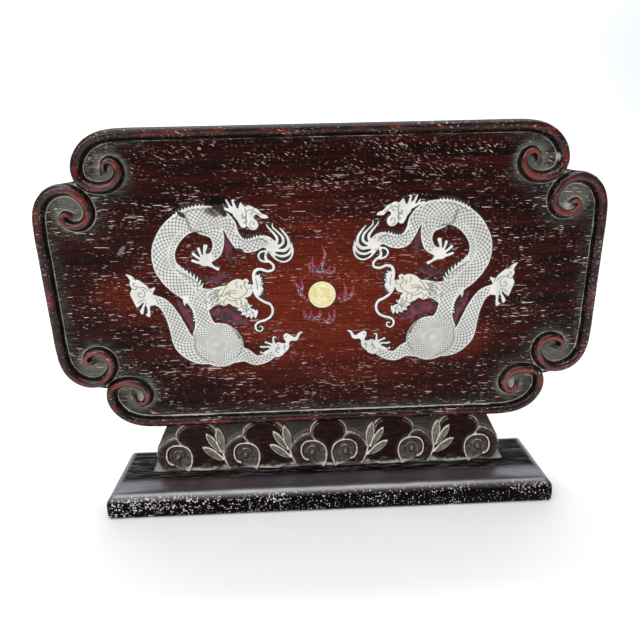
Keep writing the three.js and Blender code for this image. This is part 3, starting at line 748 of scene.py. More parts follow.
def cut_plate(name, drawing, gap, place, flip, finish, back, proud, layers, grooves=None, pitch=0.4):
    """A thin plate in the field, from its drawing; place takes drawn places to (x, z) on the panel."""
    net = staggered_net(np.arange(drawing.x[0], drawing.x[-1], pitch),
                        np.arange(drawing.y[0], drawing.y[-1], pitch * 0.87), pitch)
    net = net[drawing.at(gap, net) < -0.45 * pitch]

    def bevelled(spots, rim_count):
        """The plate's face, with a soft bevel at its edge and its lines cut in."""
        depth_in = -drawing.at(gap, spots)
        depth_in[:rim_count] = 0
        bevel = np.clip(depth_in / 0.4, 0, 1)
        rise = proud * np.sqrt(1 - (1 - bevel) ** 2)
        if grooves is not None:
            rise = rise - 0.07 * bell(drawing.at(grooves, spots), 0.2) * bevel
        where = place(spots)
        return np.column_stack([where[:, 0], field_front - rise, where[:, 1]])

    points, faces, spots, rim_count = saw_out(drawing, gap, net, bevelled, back)
    if flip:
        faces = [face[::-1] for face in faces]
    return make_piece(name, points, faces, finish, on_points(drawing, layers, spots, rim_count), 40)


# drawn about the middle of the left figure, x towards the disc, with the width of each band last
body = [
    (32.6, 21.6, 5.2), (29.5, 23.6, 6.6), (27, 24, 6.4), (21.5, 22, 7), (16.5, 22.3, 6.8),
    (12.5, 27.5, 6.4), (10, 33.5, 8), (4.5, 37, 10.5), (-4, 37, 12.6), (-13, 34.7, 12.2),
    (-20.5, 28.5, 12.2), (-24.8, 20, 12.3), (-24.2, 11.5, 12.8), (-19, 4.5, 14), (-12.5, -2, 12.6),
    (-8.8, -10, 9.4), (-7.3, -17, 8.8), (-6.4, -23, 12), (-4.5, -30, 20)]
limbs = [
    [(-4, -37.6, 14), (-12, -36.9, 13.6), (-18.5, -31.8, 12.3), (-21.2, -23.5, 9.8), (-23.8, -15.5, 7.8),
    (-28, -8.3, 6.2), (-33, -5.6, 5.2)], [(6, -38.5, 12), (14, -39.6, 8), (20, -43, 6), (26, -41.7, 5.4),
    (31, -38.4, 4.6)], [(-3, 34, 11), (3, 29.8, 8.4), (4.3, 24, 6.2), (2.8, 19, 5.6), (0, 16.4, 4.6)]]
neck = [(-9, -5.2, 11.4), (-4, -5.4, 9.6), (1, -5.3, 9.6)]
head_loop = [
    (-6, -0.2), (-3.9, -0.8), (0.4, -0.2), (3.9, 0.9), (6.8, 0.8), (8.2, 2.4), (10.4, 3.8), (12.9, 4.4),
    (14.8, 4.1), (16, 3.3), (17.4, 1.5), (19, 1.2), (20.9, 1.2), (21.4, -0.6), (20.9, -1.9), (20.1, -4.4),
    (19.1, -5.5), (17.9, -6.1), (15.8, -6.4), (17.4, -7.2), (17.7, -8.8), (18.2, -10.3), (20, -10.3),
    (19.6, -11.4), (18.4, -12.3), (20, -12.7), (21.3, -13.1), (21.7, -14.2), (22, -12.5), (23, -14.2),
    (22.6, -15.4), (22.3, -16.7), (21.3, -18.7), (20.4, -16.8), (18.9, -18.7), (18, -16.7), (16.2, -18.1),
    (15.8, -16), (13, -16.3), (14.4, -14.2), (11.4, -13.2), (12.3, -11.9), (9.2, -10.9), (8, -9.7),
    (7, -9.4), (4.5, -11), (3.4, -9.9), (-0.4, -10.1), (-3.9, -13.2), (-9, -12), (-9, -2)]
fist_loop = [
    (-46.4, 9), (-44.8, 6.8), (-44, 5.1), (-44.7, 3.4), (-44.3, 1.8), (-43.5, 0.9), (-44.9, -1.2),
    (-45.1, -3), (-44.3, -5.1), (-43.6, -6.6), (-43.2, -8.3), (-42.6, -9.8), (-41.7, -10.1), (-40.4, -8.8),
    (-38.1, -6.8), (-39.6, -10), (-41.3, -11.9), (-40.2, -14.1), (-39.2, -13.8), (-38.2, -10.1),
    (-37.5, -8.6), (-36.8, -10.1), (-37, -13.2), (-38.4, -14), (-37.1, -15.6), (-35.7, -15.6),
    (-35.3, -13.7), (-35.5, -10.7), (-34.6, -9), (-32.9, -9.2), (-31.5, -6.8), (-31.7, -4.2), (-32.9, -3),
    (-32.6, -1.5), (-31, 0.4), (-31.7, 1.4), (-32.9, 0.7), (-34, 0.3), (-35.2, 1.8), (-37.6, 3.9),
    (-39.4, 5.4), (-41.4, 5.8), (-41.9, 6.8), (-43.3, 8), (-45.1, 8.7)]
cloud_loop = [
    (12.6, 38), (15, 35.5), (16.1, 32.6), (17, 31.5), (18.6, 31.3), (19.6, 32.4), (21.2, 30.5), (22.9, 30),
    (24.4, 30.4), (25.7, 31.9), (25.8, 33.7), (25, 35.2), (23.6, 35.9), (23.6, 37.3), (24.6, 38.1),
    (25.6, 38), (26.8, 36.4), (28.2, 35.8), (31.6, 35.9), (30.4, 37.8), (28.9, 38.1), (27.5, 38.8),
    (26.1, 40.9), (24.3, 41.6), (22.3, 42.7), (20.7, 43), (19.6, 42.2), (18.3, 43.6), (17.4, 45),
    (16.4, 43.4), (15.8, 41.4), (13, 41.4)]
palm_loop = [
    (29, -38.6), (29.6, -36.4), (28.9, -34.8), (30.8, -33.8), (32.9, -32.4), (34.2, -32.8), (35.3, -33.5),
    (36.7, -33.1), (37.9, -33.4), (39.2, -33.5), (39.3, -35.4), (38.4, -37.3), (37, -38.7), (35.9, -39.5),
    (35.3, -40.6), (34, -41.2), (32, -41.9), (31.1, -41.4), (30.3, -40.2)]
bead_loop = [
    (37.4, -33.6), (37, -32), (36.2, -31), (35.9, -28.9), (36.6, -27.7), (37.6, -27.3), (38.9, -27.8),
    (40.5, -28.8), (41.9, -30), (43, -29.8), (43.6, -28.3), (44.7, -26.9), (46.8, -26.6), (46.9, -27.5),
    (45.5, -28.1), (45, -29.4), (44.1, -31.6), (42.5, -32.5), (40.8, -32), (39.7, -32.4), (39, -33.6)]
fingers = [
    [(-1, 16.5, 4.5), (-2.8, 14.6, 5.6), (-4.5, 13.8, 4)], [(-3, 14, 3), (-7, 13.9, 1.7), (-10, 14.9, 1.6)],
    [(-3, 14.6, 3), (-6.6, 16.2, 1.7), (-9.4, 18.6, 1.7)], [(-3, 15, 3), (-5.4, 18, 1.6),
    (-6.3, 21.1, 1.8)], [(-2.3, 15, 3), (-3.4, 18.8, 1.7), (-2.6, 22.3, 2.4)], [(-1.5, 13, 2.8),
    (0.8, 11.2, 1.5), (2.9, 10, 1.9)], [(12.6, 40.2, 2.4), (9.8, 41.2, 1.6), (6.3, 42.3, 1.1)],
    [(12.8, 41, 2.2), (11.2, 43.2, 1.5), (10, 46, 0.9)], [(14.4, 41, 2.2), (13.6, 43.8, 1.5),
    (13.3, 45.7, 1.2), (14.9, 45.5, 0.6)], [(9.4, 42, 1.2), (8.2, 43.8, 0.7)], [(29.4, -37.2, 2),
    (27, -37.5, 1.2), (24.8, -38.7, 1.1), (22.9, -38.7, 0.9)], [(23, -38.6, 0.9), (23, -37.2, 0.4)],
    [(29, -36, 2), (27.2, -35.1, 1.3), (24.5, -35.3, 1.2), (22.7, -34.9, 0.9)], [(23.6, -35, 0.9),
    (24.1, -33.8, 0.4)], [(29.8, -34.3, 1.8), (28, -33.2, 1.3), (25.7, -32.5, 1)], [(26, -32.5, 0.9),
    (26.9, -31.2, 0.4)], [(30.6, -34, 1.8), (30.3, -31, 1.2), (30.8, -29.4, 1.1), (32.5, -30.1, 0.5)]]
whisker = [
    (30.5, 20.4, 2), (28.8, 17, 1.8), (28.6, 14.8, 1.6), (31, 12.8, 1.5), (32.5, 11, 1.5), (32.2, 8.9, 1.5),
    (29.4, 8, 1.5), (25.5, 9.2, 1.7), (22.8, 8.6, 1.8), (21.6, 5.5, 1.9), (21.9, 2.4, 2), (22.1, -0.6, 2),
    (21.9, -3.4, 2.1), (23.3, -6.4, 1.6), (26.5, -8.9, 1.6), (29.8, -10.6, 1.6), (30.9, -14, 1.5),
    (29.7, -17.2, 1.5), (26.5, -19.4, 1.5), (23, -20.4, 1.4), (21, -22.3, 1.3), (21.4, -24.8, 1.2),
    (23.1, -25.8, 1.1), (24.8, -24.6, 1), (24.4, -23, 0.9), (23.2, -23.2, 0.8)]
hook = [
    (28.6, 19, 1.4), (25.9, 18.3, 1.2), (24.8, 16.4, 1.2), (25.8, 14.2, 1.3), (28.2, 13.3, 1.3),
    (30.2, 13.3, 1.4)]
frill = [
    (23.2, 6, 1), (24, 3.2, 3), (24.3, 0.2, 3.4), (23.8, -2.4, 3), (23.4, -4.4, 1.6)]
tail_hair = [
    [(31, 22, 4), (34.4, 22.9, 2), (35.1, 25.5, 1.7), (33.6, 28, 1.4), (31.1, 30.9, 1.1),
    (28.9, 34.4, 0.5)], [(31, 21.4, 4), (36.2, 21.5, 1.9), (38.2, 23.4, 1.8), (37.8, 26.2, 1.5),
    (35, 29.4, 1.2), (33, 31.5, 1), (33, 34.3, 0.5)], [(31, 20.6, 4), (35.5, 19.2, 1.9), (38.9, 19.2, 2.2),
    (41, 21.6, 2), (40.8, 25, 1.7), (38.6, 28.6, 1.3), (36.4, 31.2, 0.6)], [(31, 20, 3), (34, 17, 1.5),
    (37.4, 15.9, 1.6), (40.8, 17, 1.7), (42.3, 19.8, 1.5), (42.7, 23, 0.7)], [(31.4, 18.4, 2.4),
    (34, 14.6, 1.2), (38, 12.9, 1.2), (41.2, 14.2, 1.2), (43, 17.6, 1.1), (43.3, 20.8, 0.6)]]


def teeth(path, pitch, length, lean, base=1.2):
    """Short pointed bands along the left side of a path, leaning by so many degrees towards its end."""
    line = smooth_line([(*point, 0) for point in path], pitch)
    way = ways_along(line)
    angle = math.radians(90 - lean)
    row = []
    for (x, y, _), (ax, ay) in zip(line, way):
        out = (ax * math.cos(angle) - ay * math.sin(angle), ax * math.sin(angle) + ay * math.cos(angle))
        row.append([(x, y, base), (x + out[0] * 0.55 * length, y + out[1] * 0.55 * length, base * 0.62),
                    (x + out[0] * length, y + out[1] * length, 0.25)])
    return row


spines = [
    *teeth([(-17.6, 38.4), (-13.6, 40.5), (-9.5, 42.2), (-6, 42.9), (-2.5, 42.9)], 1.75, 2.1, 30),
    *teeth([(3.6, 42), (7.4, 41)], 1.7, 1.6, 20),
    *teeth([(-18.6, 11.4), (-16, 9.6), (-12.6, 7.4), (-10, 5.4), (-7.6, 2.6), (-6.6, 0.6)], 2.1, 3, -35, 1.5),
    *teeth([(-12, -18), (-11.8, -14), (-12.6, -9.4), (-14.4, -6.4)], 1.7, 1.7, -40),
    *teeth([(13.2, 30), (15, 27), (17.6, 25), (21, 25.2), (24.4, 26.6), (27.6, 26.4), (30.4, 24.8)],
           1.55, 1.9, 10, 1.15),
    *teeth([(24.6, 5.6), (25.5, 3.6), (25.6, 1)], 1.4, 1.7, -40),
    *teeth([(25.6, -1.2), (25, -3), (24, -4.6)], 1.5, 2.1, 25),
    [(-16.4, -5, 2), (-16.6, -8, 1.3), (-16.3, -10.4, 0.5)],
    [(-14.6, -5, 1.6), (-15.2, -6.6, 1), (-15.6, -8.6, 0.4)]]

sheet = Drawing((-49, -51), (50, 49), 0.3)
scaled, net_a, net_b = sheet.blank(9), sheet.blank(0), sheet.blank(0)
SCALE = 2.4
for controls in [body, *limbs, neck]:
    gap, run, side = sheet.along(smooth_line(controls, 0.35))
    nearer = gap < scaled
    scaled[nearer] = gap[nearer]
    net_a[nearer] = ((run + side) / SCALE)[nearer]
    net_b[nearer] = ((run - side) / SCALE)[nearer]
haunch = (-1.2, -32.9)
haunch_gap = np.minimum(sheet.round(0.6, -33.2, 13.1), scaled)
reach_out = sheet.round(*haunch, 0)
turn_round = np.arctan2(sheet.y[None, :] - haunch[1], sheet.x[:, None] - haunch[0]) / (2 * math.pi)
swirl = reach_out < 12.6
net_a[swirl] = (turn_round * 32 + reach_out / 1.8)[swirl]
net_b[swirl] = (reach_out / 1.8 - turn_round * 32)[swirl]
plain = sheet.bands([whisker, hook, frill, *fingers, *tail_hair, *spines])
for loop in (fist_loop, cloud_loop, palm_loop, bead_loop):
    plain = np.minimum(plain, sheet.loop(loop))
head_gap = sheet.loop(head_loop)
dragon_gap = np.minimum.reduce([haunch_gap, plain, head_gap])
plain = np.minimum(plain, np.where(sheet.x[:, None] < -4.4, 9, head_gap))
haunch_gap = np.minimum(haunch_gap, np.where(sheet.x[:, None] < -3.8, head_gap, 9))
scale_share = np.clip((-haunch_gap - 0.55) / 0.4, 0, 1) * (np.clip(plain / 0.3 + 0.6, 0, 1))
scale_share *= np.clip((reach_out - 0.4) / 1.6, 0.5, 1) * (1 - 0.35 * bell(reach_out - 5.4, 0.5))
belly, run, side = sheet.along(smooth_line(body, 0.35))
on_belly = (run > 58) * (run < 112) * (belly < 0) * (belly <= scaled + 1e-6)
scale_share *= 1 - 0.9 * bell(side - 2.6, 0.42) * on_belly

engraved = [
    [(-12, 37.9), (-10.8, 34.6), (-10, 31.4), (-8.2, 30), (-4.6, 29.9), (-1, 29.2)], [(-11.2, 38.4),
    (-9.8, 34), (-9.2, 31.8), (-7.6, 30.8), (-4, 30.6)], [(-13.6, -26.6), (-12.6, -29.4), (-13.2, -33),
    (-12, -37.6), (-8, -41.6), (-3, -43.6)], [(6.6, -21.6), (11, -25.6), (12.9, -31), (12.3, -36.4),
    (9.2, -41)], [(3.6, -5.2), (4.5, -3.1), (5.7, -1), (7.1, 0.3)], [(4.6, -5.2), (6.8, -3.8), (9.3, -3.3),
    (11.4, -3.8)], [(8.2, -3.9), (7.7, -4.9), (8.7, -5.3)], [(9.3, -6), (11.4, -6.7), (13.2, -6.4),
    (14.3, -5.8), (17.1, -3.8)], [(16.4, 2.6), (16.4, 0.1), (17.7, -1.7), (17.1, -3.8)], [(20.4, 0.9),
    (19.8, -0.4), (20.5, -1.5)], [(18.7, -0.9), (19.1, -1.3)], [(13.2, -6.7), (14.2, -8), (14, -9.6)],
    [(16.1, -9), (16.1, -11.6), (17.4, -14)], [(2.6, -2.2), (1.4, -1.2), (0.2, -2.4), (1.2, -3.2)],
    [(0.2, -6), (-1.2, -5.2), (-2.2, -6.4), (-1.2, -7.2)], [(2.8, -7.4), (1.6, -6.8), (0.8, -8),
    (1.8, -8.8)], [(-3.8, -8), (-5, -7.4), (-5.6, -8.6), (-4.6, -9.2)], [(13.6, -9.2), (14.9, -11.2),
    (14.7, -13.4)], [(15.5, -12.4), (16.7, -14.4), (16.5, -16.2)], [(17.2, -9.4), (17, -11.4),
    (18.5, -13.2)], [(19, -13.4), (20, -15.2), (20.2, -16.8)], [(11.2, -8.4), (12.1, -10.2)],
    [(12.8, -13.6), (14, -15.2)], [(18.8, -10.8), (19.4, -11.6)], [(17.8, -15.4), (18.6, -17)],
    [(5.6, -4.4), (7.2, -2.6), (9.6, -2), (12, -2.4)], [(6.4, -6), (7.6, -7.2), (9.6, -7.8), (11.6, -7.6)],
    [(12.4, 2.8), (11.8, 1.2), (12.6, -0.4)], [(14.6, -10.6), (13, -12), (11.6, -12.4)], [(17.6, -13),
    (16, -14.2), (14.6, -14.2)], [(20.6, -14.6), (18.6, -15.4)], [(15, 0.8), (14.2, -0.4), (15, -1)],
    [(6, -6.6), (4.6, -8.2), (4.8, -10)], [(-36.8, -7), (-37.4, -8.6)], [(-37.3, -5.9), (-39.2, -6),
    (-41.5, -7.4)], [(-42.6, 6.4), (-41, 5.2)], [(-44, 0.6), (-42, 0.2), (-40.4, 1.4)], [(-39.4, 1.2),
    (-37, 1), (-35.4, -1)], [(-35, 1), (-33.6, -1.4)], [(19.4, 41.4), (19.8, 38), (19.3, 34.6),
    (19.6, 32.4)], [(23.4, 41.4), (24.2, 39.6), (27, 37.8)], [(28.8, 16.6), (30.4, 18.8)], [(30, 14.4),
    (30.2, 16.6), (31.6, 18.4)], [(33, -33.6), (32.6, -36), (31, -38)], [(36.6, -34), (36, -36.4),
    (36.8, -38)], [(22.6, 4.4), (23.2, 1.2), (23.2, -2)], [(26, 3.4), (25.2, 0)], [(14, 27.8), (16.4, 25.2),
    (21, 24.4), (25.4, 25.4), (28.4, 24.8), (30.4, 22.6)], [(-18.6, 10), (-15.8, 8.2), (-12.4, 6),
    (-9.6, 3.8), (-7.4, 1)], [(-17.4, 37.2), (-13.4, 39.2), (-9.4, 40.9), (-5.8, 41.5), (-2.4, 41.4)]]
curls = [
    (-39.4, -2.5, 2.8), (-41.8, 3.3, 1.7), (18.2, 38.2, 1.9), (18.6, 34.6, 2.1), (22.1, 39, 2),
    (22.9, 33.3, 2.2), (33.2, -36.9, 2), (37.2, -36, 1.3), (37.9, -29.4, 0.9), (17.3, 2.8, 0.9)]
for number, (x, y, radius) in enumerate(curls):
    turns = [number + 0.5 * step for step in range(round(4 * math.pi * radius / 2.2))]
    reaches = [radius * (k + 1) / len(turns) for k in range(len(turns))]
    engraved.append([
        (x + reach * math.cos(turn), y + reach * math.sin(turn)) for reach, turn in zip(reaches, turns)])
for k in range(8):
    engraved.append([
        (3.8 - 1.1 * (k % 3), -0.8 - 1.15 * k),
        (1.6 - 0.5 * (k % 2), -2.0 - 1.2 * k + 0.5 * math.sin(5 * k)),
        (-1.2, -1.0 - 1.4 * k),
        (-4.6 + 1.3 * (k % 2) + 0.3 * k, -3.0 - 1.35 * k + 0.6 * math.cos(4 * k))])
ink = sheet.bands([[(*point, 0) for point in line] for line in engraved])
curl_head = sheet.round(17.3, 2.8, 1.6)
wrist = sheet.round(-35.4, -5.7, 1.9)
dragon_gap = np.minimum(dragon_gap, np.minimum(curl_head, wrist))
head_share = np.clip(1 - sheet.round(11, -2, 9) / 2.5, 0, 1)
creamy = np.maximum(head_share, np.clip(1 - np.maximum(wrist, sheet.round(38, -29.4, 1.5).clip(0)) / 2, 0, 1))
patches = sheet.bands([
    [(-5.8, 17.4, 3), (-3.2, 20, 3)], [(-8, 15.4, 2), (-6, 16.6, 2)], [(-1.4, 18.6, 2.4), (0.6, 21, 1)],
    [(-38.6, -8.8, 1.6), (-38.9, -11.6, 1.6)], [(-41, -9.4, 1.6), (-40.6, -11, 1.2)], [(-36.7, -8, 1),
    (-36.6, -12.6, 1.6)], [(8.4, 41.2, 1.4), (10.6, 43, 1.6)], [(12, 42.6, 1.6), (12, 44.6, 1.4)],
    [(15.6, 42, 1.4), (15.9, 44, 1)], [(9, 38.6, 1.8), (7.2, 39.8, 1.2)], [(27, -36.4, 1.4),
    (24.4, -36.9, 1)], [(28.4, -34.6, 1.4), (25.8, -33.8, 1.2)], [(29.4, -32.8, 1.6), (28, -31.8, 1.2)],
    [(30, -39, 1.6), (27, -39.2, 1.4), (22, -40.4, 1)], [(17.8, 1.6, 0.8), (19, 1.9, 0.8)],
    [(19.8, -12.2, 0.9), (20.8, -12.4, 0.6)], [(23, -23.6, 1.2), (23.2, -24.8, 1.2)]])
hair_patch = sheet.loop([
    (31, 22), (34.6, 23.4), (34.4, 26), (32, 29.4), (29.6, 33), (32.6, 33.4), (36, 30.6), (38.4, 29),
    (41, 26), (42.9, 22.6), (43.1, 18), (41.2, 14.2), (38, 12.9), (34, 14.6), (31, 18)])
spine_gap = sheet.bands(spines)
filler_gap = np.minimum.reduce([dragon_gap - 0.42, patches, hair_patch, spine_gap - 0.6, sheet.loop(
    [(24.9, 16.4), (25.9, 18), (28, 18.6), (29.6, 17), (29, 14), (26.6, 13.4)])])


def burnt(hand):
    """Black scorched places and a brown stain, which only the left figure has."""
    if hand < 0:
        return {"burn": sheet.blank(0), "stain": sheet.blank(0)}
    burn = sheet.bands([
        [(4, 42.4, 1.6), (7.6, 41.4, 1)], [(-14.6, 40, 0.6), (-12.6, 38.4, 0.8)],
        [(8.6, 38.8, 1.6), (7.4, 40, 1)], [(12, 19.8, 0.6), (14.6, 18.6, 3.2), (16.6, 17.6, 1.6)]])
    stain = sheet.bands([
        [(0, 40.8, 1.8), (3.4, 39.8, 3.2), (7, 39.8, 1.8)], [(7.4, 42.6, 0.8), (9.6, 43.4, 1)]])
    return {"burn": np.clip(1.0 - burn / 1.0, 0, 1), "stain": np.clip(0.9 - stain / 2.0, 0, 1)}


shell_finish = Finish("engraved_shell")
scaled_share = shell_finish.layer("scaled")


def net_line(layer):
    """1 along a line of the net and 0 between two lines."""
    part = shell_finish.node("ShaderNodeMath", {"operation": "FRACT"}, {0: shell_finish.layer(layer)})
    return 1.0 - (0.5 - abs(part - 0.5)).ramp(0.02, 0.27)


line_a, line_b = net_line("net_a"), net_line("net_b")
cut = (line_a.most(line_b) * 0.55 + line_a * line_b * 0.6).least(1.0) * scaled_share
tone = shell_finish.clouds((7, 7, 7), detail=3.0)
soot = shell_finish.clouds((1.5, 1.5, 1.5), (4, 1, 7), detail=4.0, rough=0.65)
stain = shell_finish.layer("stain")
colour = shell_finish.coats(
    shell_finish.tint(tone.ramp(0.35, 0.65), (0.74, 0.73, 0.68), (0.88, 0.87, 0.84)),
    (shell_finish.layer("creamy") * 0.6, (0.80, 0.77, 0.62)),
    (scaled_share * 0.12, (0.55, 0.57, 0.54)),
    (cut * 0.95, (0.035, 0.036, 0.030)),
    ((1.0 - shell_finish.layer("ink").ramp(0.08, 0.48)) * 0.85, (0.055, 0.050, 0.038)),
    ((stain + soot - 0.7).ramp(0.0, 0.6) * 0.8, (0.13, 0.062, 0.024)),
    ((stain + soot * 2.2 - 1.75).ramp(0.0, 0.5) * 0.9, (0.016, 0.011, 0.008)),
    ((shell_finish.layer("burn") + soot * 0.7 - 0.5).ramp(0.0, 0.4), (0.006, 0.005, 0.005)))
shell_finish.surface(colour, 0.28 + cut * 0.3, cut * -1.0 + tone * 0.2, 0.05, Specular_IOR_Level=0.5)

filler_finish = Finish("dark_filler")
filler_finish.surface(
    filler_finish.tint(filler_finish.clouds((3, 2, 2)), (0.004, 0.003, 0.003), (0.016, 0.008, 0.007)), 0.5,
    filler_finish.clouds((1, 1, 1)), 0.05)

red_finish = Finish("dyed_red")
vein = red_finish.clouds((2.2, 2.2, 2.8), detail=4.0, rough=0.6)
colour = red_finish.tint(vein.ramp(0.38, 0.62), (0.016, 0.003, 0.006), (0.155, 0.010, 0.036))
# Paler pink patches are painted glints of light on the dyed shell.
painted_glint = red_finish.clouds((5, 5, 5), (3, 2, 2)).ramp(0.52, 0.68) * 0.6
colour = red_finish.tint(painted_glint, colour, (0.33, 0.036, 0.090))
red_finish.surface(colour, 0.34, vein, 0.05, Specular_IOR_Level=0.45)

violet_finish = Finish("dyed_violet")
vein = violet_finish.clouds((1.4, 1.4, 1.4), (2, 2, 2), detail=4.0, rough=0.6)
fleck = violet_finish.clouds((0.9, 0.9, 0.9), (7, 2, 2), detail=2.0)
within_share = violet_finish.layer("within")
colour = violet_finish.coats(
    (0.32, 0.016, 0.060),
    ((within_share + vein * 0.8 - 0.85).ramp(0.0, 0.35), (0.012, 0.004, 0.007)),
    ((fleck + within_share * 0.12).ramp(0.62, 0.72) * 0.85, (0.60, 0.52, 0.50)))
violet_finish.surface(colour, 0.34, vein, 0.05, Specular_IOR_Level=0.45)

flames = {
    "wisp": [[(7.4, 29, 0.7), (8.7, 25.6, 3), (9, 22, 3.8), (9.1, 18, 3.2), (9.6, 14.6, 1.6),
        (10.1, 12.8, 0.6)], [(9.6, 17.6, 1.2), (11.2, 14.4, 0.5)]],
    "brow": [[(-5, 4.2, 0.8), (-2, 4.4, 2.4), (1.6, 5, 3.4), (5.4, 6.2, 3.2), (8.4, 7, 1.8),
        (10.6, 7.8, 0.5)], [(0, 4, 2), (2.4, 2.4, 1.6), (5.4, 2.4, 0.6)], [(-3, 5.2, 1.4), (-4.6, 7, 0.5)],
        [(3, 7, 1.4), (3.8, 8.8, 0.4)]],
    "throat": [[(-3, -13.4, 1), (-1.2, -14.2, 3.4), (3, -14.9, 6.6), (8.6, -15.8, 6.4), (12.6, -19, 4.2),
        (16.4, -21, 2), (18.6, -21.4, 0.6)], [(3, -17.4, 2), (6, -20, 1), (7.6, -20.6, 0.4)],
        [(9.6, -18.6, 2), (11, -22.4, 1.2), (13, -24, 0.5)], [(6, -12.4, 2), (9.4, -12.4, 1)]],
    "flank": [[(-20.2, -6.4, 0.8), (-18.6, -9, 3), (-17.2, -12, 4.2), (-15.4, -16.6, 3.4), (-14, -21, 2.2),
        (-13.4, -24.8, 0.6)], [(-15.4, -12.6, 1.6), (-13.8, -11.6, 0.4)], [(-14.4, -15.8, 1.5),
        (-12.9, -15.2, 0.4)], [(-13.8, -19, 1.2), (-12.5, -18.6, 0.4)]]}
figure_scale = 93.9 / 93.4
figure_reach = 59.55
inlay_shift = -0.7
for side_name, hand in (("left", 1), ("right", -1)):

    def place(spots, hand=hand):
        """From the drawing to the panel's face."""
        drawn = spots * figure_scale
        x = inlay_shift + hand * (drawn[:, 0] - figure_reach)
        return np.column_stack([x, panel_middle + drawn[:, 1]])

    layers = {
        "scaled": scale_share, "net_a": net_a, "net_b": net_b, "ink": ink, "creamy": creamy, **burnt(hand)}
    dragon = cut_plate(f"{side_name}_dragon_plate", sheet, dragon_gap, place, hand < 0, shell_finish,
                       plate_back, PLATE_PROUD, layers, ink)
    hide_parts(f"dragon_{side_name}")
    around = filler_gap
    for name, lists in flames.items():
        gap = np.maximum(sheet.bands(lists), 0.34 - dragon_gap)
        flame = cut_plate(f"{side_name}_{name}_plate", sheet, gap, place, hand < 0, red_finish,
                          plate_back, FLAME_PROUD, {})
        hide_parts(f"flame_{side_name}_{name}")
        around = np.minimum(around, gap - 0.16)
    filler = cut_plate(f"{side_name}_inlay_filler", sheet, around, place, hand < 0, filler_finish,
                       filler_back, FILLER_PROUD, {}, None, 0.9)

# The flaming disc between them: a disc of pale yellow shell with a lighter rim, and five dyed wisps.
disc_sheet = Drawing((-17, -19), (20, 29), 0.25)
disc_gap = disc_sheet.round(0, 0, 7.5)
rings = np.abs(disc_sheet.round(0, 0, 6.35))
swirl_lines = disc_sheet.bands([
    [(5.6, 0.6, 0), (3.4, 2.8, 0), (0.4, 3, 0), (-1.4, 1.2, 0), (-0.8, -0.8, 0), (0.8, -0.8, 0)],
    [(-5.4, 1.6, 0), (-4.2, -1.8, 0), (-1.6, -3.4, 0), (1.6, -3, 0), (3.2, -1, 0)], [(-3.4, 4.6, 0),
    (-3.8, 2.4, 0), (-2.8, 0.8, 0)], [(2.4, -5.4, 0), (4.4, -3.4, 0)]])
wisps = {
    "top": [[(-7.2, 17.4, 1), (-5.2, 14, 2.2), (-1.2, 13.4, 2.8), (3, 12.6, 2.6), (6.4, 12.6, 2),
        (7.4, 15, 0.9)], [(-1, 14, 2.6), (0.8, 18, 2.2), (2, 22, 1.6), (0.6, 27, 0.7)], [(-3.6, 14.6, 2.2),
        (-4.9, 18, 1.4), (-4.2, 22, 0.6)], [(3.4, 13, 1.8), (4.6, 16, 0.8)]],
    "left": [[(-14.4, 7.6, 0.9), (-12.6, 4, 2.2), (-11.6, 0.6, 2.6), (-9.4, -1.6, 1.2)], [(-11.6, 1, 2.2),
        (-10.6, 5, 1.4), (-11.2, 9.2, 0.6)]],
    "right": [[(8.6, -1, 1), (10, -3.4, 2.2), (13.4, -2.6, 2.6), (16.2, -0.4, 2.2), (17.2, 4.2, 0.9)],
        [(12.4, -2.2, 2.2), (12.8, 2.6, 1.4), (11.8, 7, 0.6)]],
    "low_left": [[(-10.4, -9, 1), (-9.2, -12.2, 2.4), (-5.2, -13.4, 2.8), (-1.8, -12.6, 2.2),
        (-1.4, -9.2, 0.9)], [(-5.8, -13, 2.2), (-6.4, -10.6, 1.2), (-6, -8.6, 0.6)]],
    "low_right": [[(0.6, -13.4, 0.9), (1.6, -15.8, 2), (4.4, -15.6, 2.4), (6.4, -13, 2), (6.6, -8.8, 0.9)],
        [(3.4, -15, 2), (3.8, -12.4, 1.2), (3.2, -10, 0.6)]]}


def round_disc(spots):
    """From the disc's drawing to the panel's face."""
    return spots + (inlay_shift - 1.15, panel_middle - 6)


pale_finish = Finish("pale_disc")
tone = pale_finish.clouds((2.6, 2.6, 1.5), detail=4.0, rough=0.6)
colour = pale_finish.coats(
    (0.80, 0.68, 0.26),
    (tone.ramp(0.40, 0.60), (0.93, 0.90, 0.58)),
    ((1.0 - pale_finish.layer("swirl").ramp(0.1, 0.6)) * 0.28, (0.62, 0.45, 0.16)),
    (pale_finish.layer("rim") * 0.8, (0.92, 0.88, 0.66)),
    ((1.0 - pale_finish.layer("ring").ramp(0.08, 0.4)) * 0.35, (0.60, 0.45, 0.22)))
pale_finish.surface(colour, 0.35, tone, 0.04, Specular_IOR_Level=0.5)
disc_layers = {"rim": np.clip((-rings + 1.2) * (disc_sheet.round(0, 0, 6.4) > 0), 0, 1), "ring": rings,
               "swirl": swirl_lines}
disc = cut_plate("pale_disc_plate", disc_sheet, disc_gap, round_disc, False, pale_finish, plate_back,
                 PLATE_PROUD, disc_layers, rings)
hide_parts("pearl_disc")
around = disc_gap - 0.34
for name, lists in wisps.items():
    gap = np.maximum(disc_sheet.bands(lists), 0.5 - disc_gap)
    wisp = cut_plate(f"disc_wisp_{name}", disc_sheet, gap, round_disc, False, violet_finish, plate_back,
                     FLAME_PROUD, {"within": np.clip(-gap, 0, 1)})
    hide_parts(f"pearl_flame_{name}")
    around = np.minimum(around, gap - 0.14)
filler = cut_plate("disc_inlay_filler", disc_sheet, around, round_disc, False, filler_finish, filler_back,
                   FILLER_PROUD, {}, None, 0.9)

